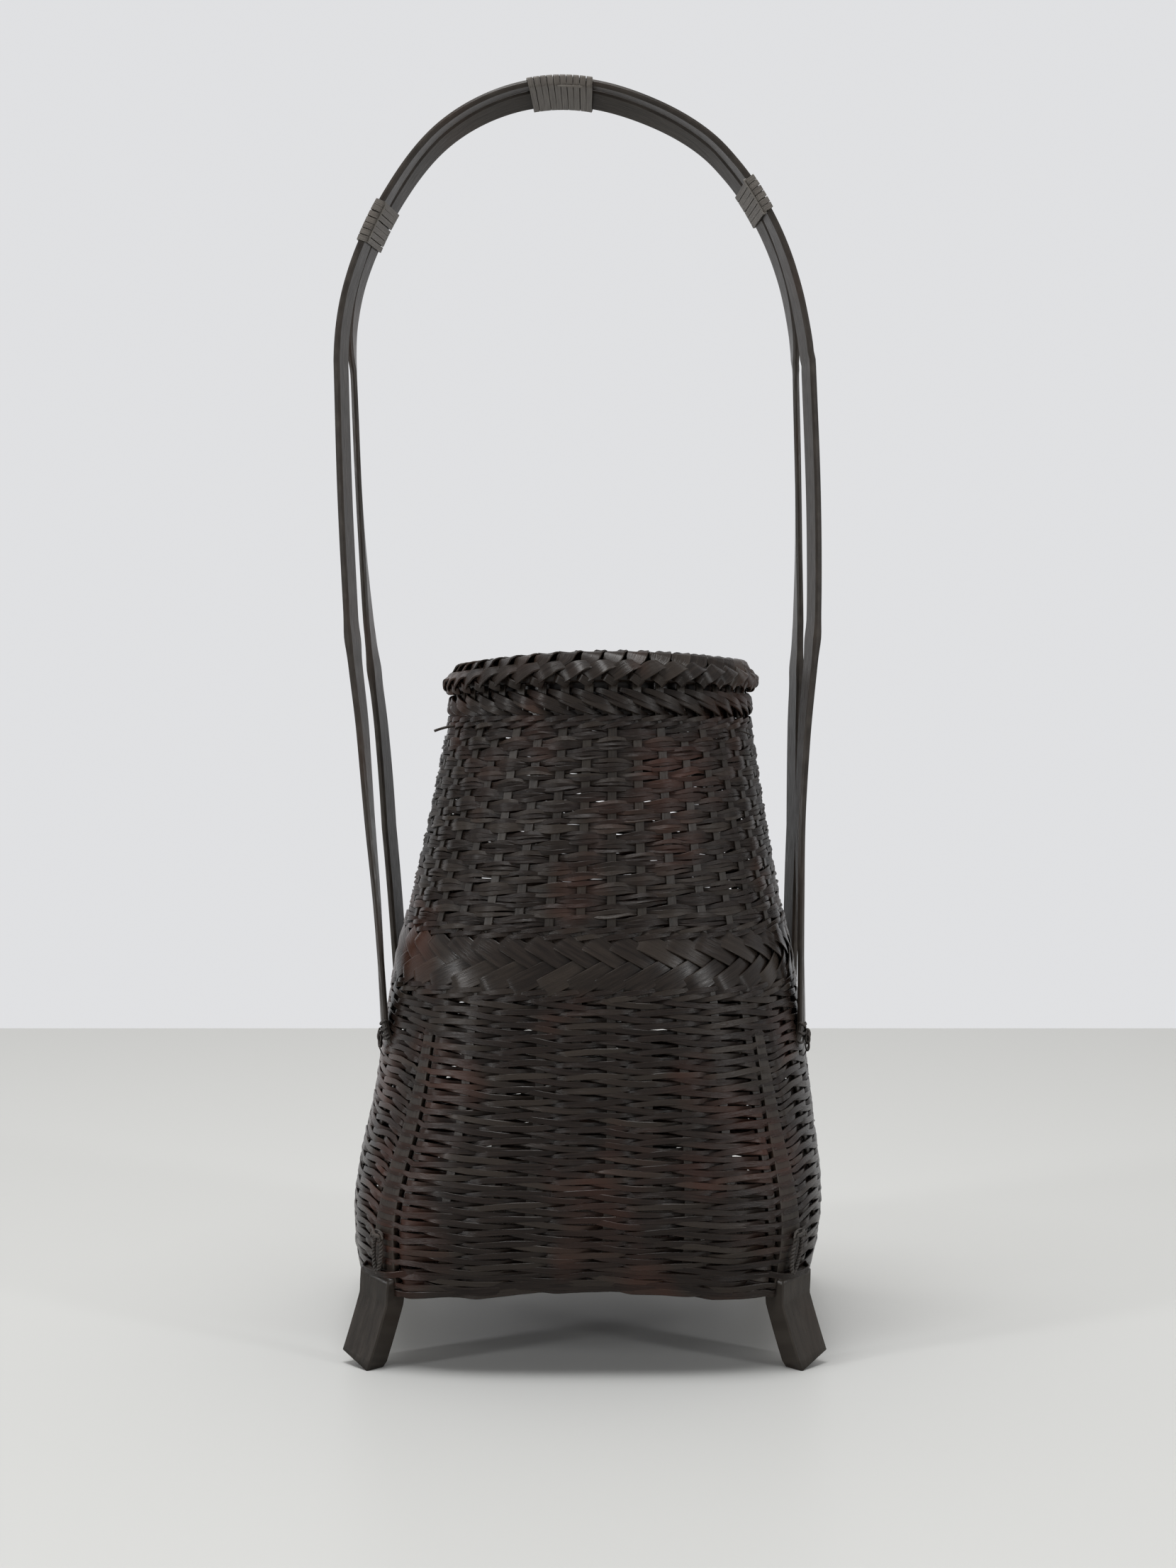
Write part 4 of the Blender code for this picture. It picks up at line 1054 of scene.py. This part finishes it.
def make_handle_tie(weave, side, back, level):
    """Bast wound round the strip's end, with a small knot outside and a loose tail."""
    share = (level - HANDLE_END) / (HANDLE_SPRING - HANDLE_END)
    outward = np.array((side, 0.0, 0.0))
    s = np.linspace(0, 2 * pi * 0.97, 40)[:, None]
    for turn in range(4):
        here = leg_point(side, back, share + 0.006 * (turn - 1.0))
        slope = random.normal(0, 0.0012)
        ring = BACKWARD * (np.cos(s) * (STRIP_WIDTH / 2 + 0.0007)) + outward * (np.sin(s) * 0.0017)
        ring = ring + UP * (slope * np.cos(s) + 0.0004 * np.sin(2 * s))
        normals = unit(ring * np.array((2.0, 1.0, 1.0)))
        weave.add(here + ring, normals, 0.0011, 0.0008, CORD_SECTION)
    knot = leg_point(side, back, share - 0.008) + outward * 0.0034
    for _ in range(14):
        tilt = random.uniform(0, pi)
        size = random.uniform(0.0006, 0.0014)
        level_way = outward * cos(tilt) + BACKWARD * sin(tilt)
        ring = UP * (np.cos(s) * size * 1.5) + level_way * (np.sin(s) * size * 0.8)
        off = UP * random.normal(0, 0.0012) + BACKWARD * random.normal(0, 0.0008)
        weave.cord(knot + off + ring, unit(ring), 0.0007)
    s = np.linspace(0, 1, 20)[:, None]
    tail = knot - UP * (0.001 + 0.0065 * s) + outward * (0.0006 - 0.0022 * s + 0.0006 * np.sin(3.1 * s))
    weave.cord(tail, BACKWARD, 0.0007 - 0.0003 * s[:, 0], 0.3)


def make_ties():
    for end, back in ENDS:
        for side, right in SIDES:
            node = f"leg_tie_{end}_{side}"
            low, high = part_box(node)
            point, across, outward = leg_frame(right, back, np.array([(low.z + high.z) / 2]))
            centre = point[0] + outward[0] * 0.0034 + across[0] * 0.0012
            weave = Weave()
            make_leg_tie(weave, centre, outward[0], across[0], -0.25 if right > 0 else 0.05)
            settle(weave, node + "_bast", [node], "dark_bast")
            node = f"handle_tie_{end}_{side}"
            low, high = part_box(node)
            weave = Weave()
            make_handle_tie(weave, right, back, float(low.z + high.z) / 2)
            settle(weave, node + "_bast", [node], "dark_bast")


# (side, turn, height, reach, thickness)
TWIGS = ((-1, pi - 0.35, 0.2415, 0.007, 0.0013), (1, 0.5, 0.24, 0.004, 0.0008))


def make_twigs():
    """Two cut ends of weaving strands that stand out of the wall."""
    weave = Weave()
    s = np.linspace(0, 1, 12)[:, None]
    for side, turn, z, reach, thickness in TWIGS:
        start = body_point(np.array([-turn]), np.array([z]), 0.003)[0]
        path = start + np.array((side, 0.0, 0.0)) * (reach + 0.004) * s - np.array((0.0, 0.0, 0.0022)) * s * s
        weave.add(path, UP, thickness, thickness * 0.8, CORD_SECTION, 0.2)
    settle(weave, "twig_ends", [], "split_bamboo")


# The setting
FLOOR_CORNERS = ((-5, -5, 0), (5, -5, 0), (5, 0.8, 0), (-5, 0.8, 0))
FLOOR_COLOUR = (0.51, 0.515, 0.508, 1)
LIGHT_COLOUR = (1.0, 0.98, 0.95, 1)
BACKGROUND_COLOUR = (0.745, 0.75, 0.765, 1)
# (name, place, size, watts)
LAMPS = (
    ("top_light", (-0.15, -0.3, 1.9), (0.9, 0.7), 24.5),
    ("left_window", (-2.05, -1.3, 0.62), (0.24, 1.1), 22.0),
    ("right_window", (1.9, -1.45, 0.62), (0.2, 1.1), 17.0),
)
LAMP_TARGET = Vector((0, 0, 0.2))
# The camera as fitted to the photo: its focal length in the photo's pixels, and degrees down
PHOTO_HEIGHT = 2212
FOCAL_PIXELS = 3640
SENSOR_HEIGHT = 24.0
CAMERA_PLACE = (0.005, -1.04, 0.272)
CAMERA_DOWN = 3


def make_floor():
    material, nodes, shader = principled("studio_floor")
    nodes.put(FLOOR_COLOUR, shader["Base Color"])
    nodes.put(0.42, shader["Roughness"])
    nodes.put(0.07, shader["Specular IOR Level"])
    mesh = bpy.data.meshes.new("studio_floor")
    mesh.from_pydata(FLOOR_CORNERS, [], [(0, 1, 2, 3)])
    mesh.materials.append(material)
    put_in_scene("studio_floor", mesh)


def make_surroundings():
    """An even pale background, and light that comes from above and from the wall behind."""
    world = bpy.data.worlds.new("studio")
    bpy.context.scene.world = world
    world.use_nodes = True
    nodes = Nodes(world.node_tree)
    light = nodes.tree.nodes["Background"]
    place = nodes.add("TexCoord").outputs["Generated"]
    _, toward, height = nodes.add("SeparateXYZ", place).outputs
    upward = nodes.spread(height, 0.0, 1.0, 0.07, 1.52)
    behind = nodes.spread(toward, -0.45, 0.65, 0.08, 1.38)
    nodes.put(LIGHT_COLOUR, light.inputs["Color"])
    nodes.put(nodes.times(upward, behind), light.inputs["Strength"])
    # What the camera, gloss and glass see is the even background
    seen = nodes.add("Background", BACKGROUND_COLOUR, 1.0)
    rays = nodes.add("LightPath").outputs
    looks = nodes.math("MAXIMUM", rays["Is Camera Ray"], rays["Is Glossy Ray"])
    looks = nodes.math("MAXIMUM", looks, rays["Is Transmission Ray"])
    choice = nodes.add("MixShader", looks, light.outputs[0], seen.outputs[0])
    nodes.put(choice.outputs[0], nodes.tree.nodes["World Output"].inputs["Surface"])


def make_lamps():
    for name, place, size, energy in LAMPS:
        lamp = bpy.data.lights.new(name, "AREA")
        lamp.energy = energy
        lamp.shape = "RECTANGLE"
        lamp.size, lamp.size_y = size
        made = put_in_scene(name, lamp)
        made.location = place
        made.rotation_euler = (LAMP_TARGET - Vector(place)).to_track_quat("-Z", "Y").to_euler()


def make_camera():
    data = bpy.data.cameras.new("photo_camera")
    data.sensor_fit = "VERTICAL"
    data.sensor_height = SENSOR_HEIGHT
    data.lens = FOCAL_PIXELS / PHOTO_HEIGHT * SENSOR_HEIGHT
    data.clip_end = 100
    camera = put_in_scene("photo_camera", data)
    camera.location = CAMERA_PLACE
    camera.rotation_euler = (radians(90 - CAMERA_DOWN), 0, 0)
    bpy.context.scene.camera = camera


def main():
    make_lower_wall()
    make_upper_wall()
    make_ribs()
    make_twinings()
    make_band()
    make_collar()
    make_rim()
    make_base()
    for end, back in ENDS:
        for side, right in SIDES:
            make_leg(f"leg_{end}_{side}", right, back)
        make_handle_strip(f"handle_strip_{end}", back)
    make_lashing("lashing_top", TOP_LASHING_ANGLE, 10, -0.001, 0.009)
    make_lashing("lashing_left", LEFT_LASHING_ANGLE, 7, -0.008, 0.008)
    make_lashing("lashing_right", RIGHT_LASHING_ANGLE, 6, -0.008, 0.008)
    make_ties()
    make_twigs()
    make_floor()
    make_surroundings()
    make_lamps()
    make_camera()
    bpy.context.scene.view_settings.view_transform = "Standard"


main()
bpy.context.view_layer.update()
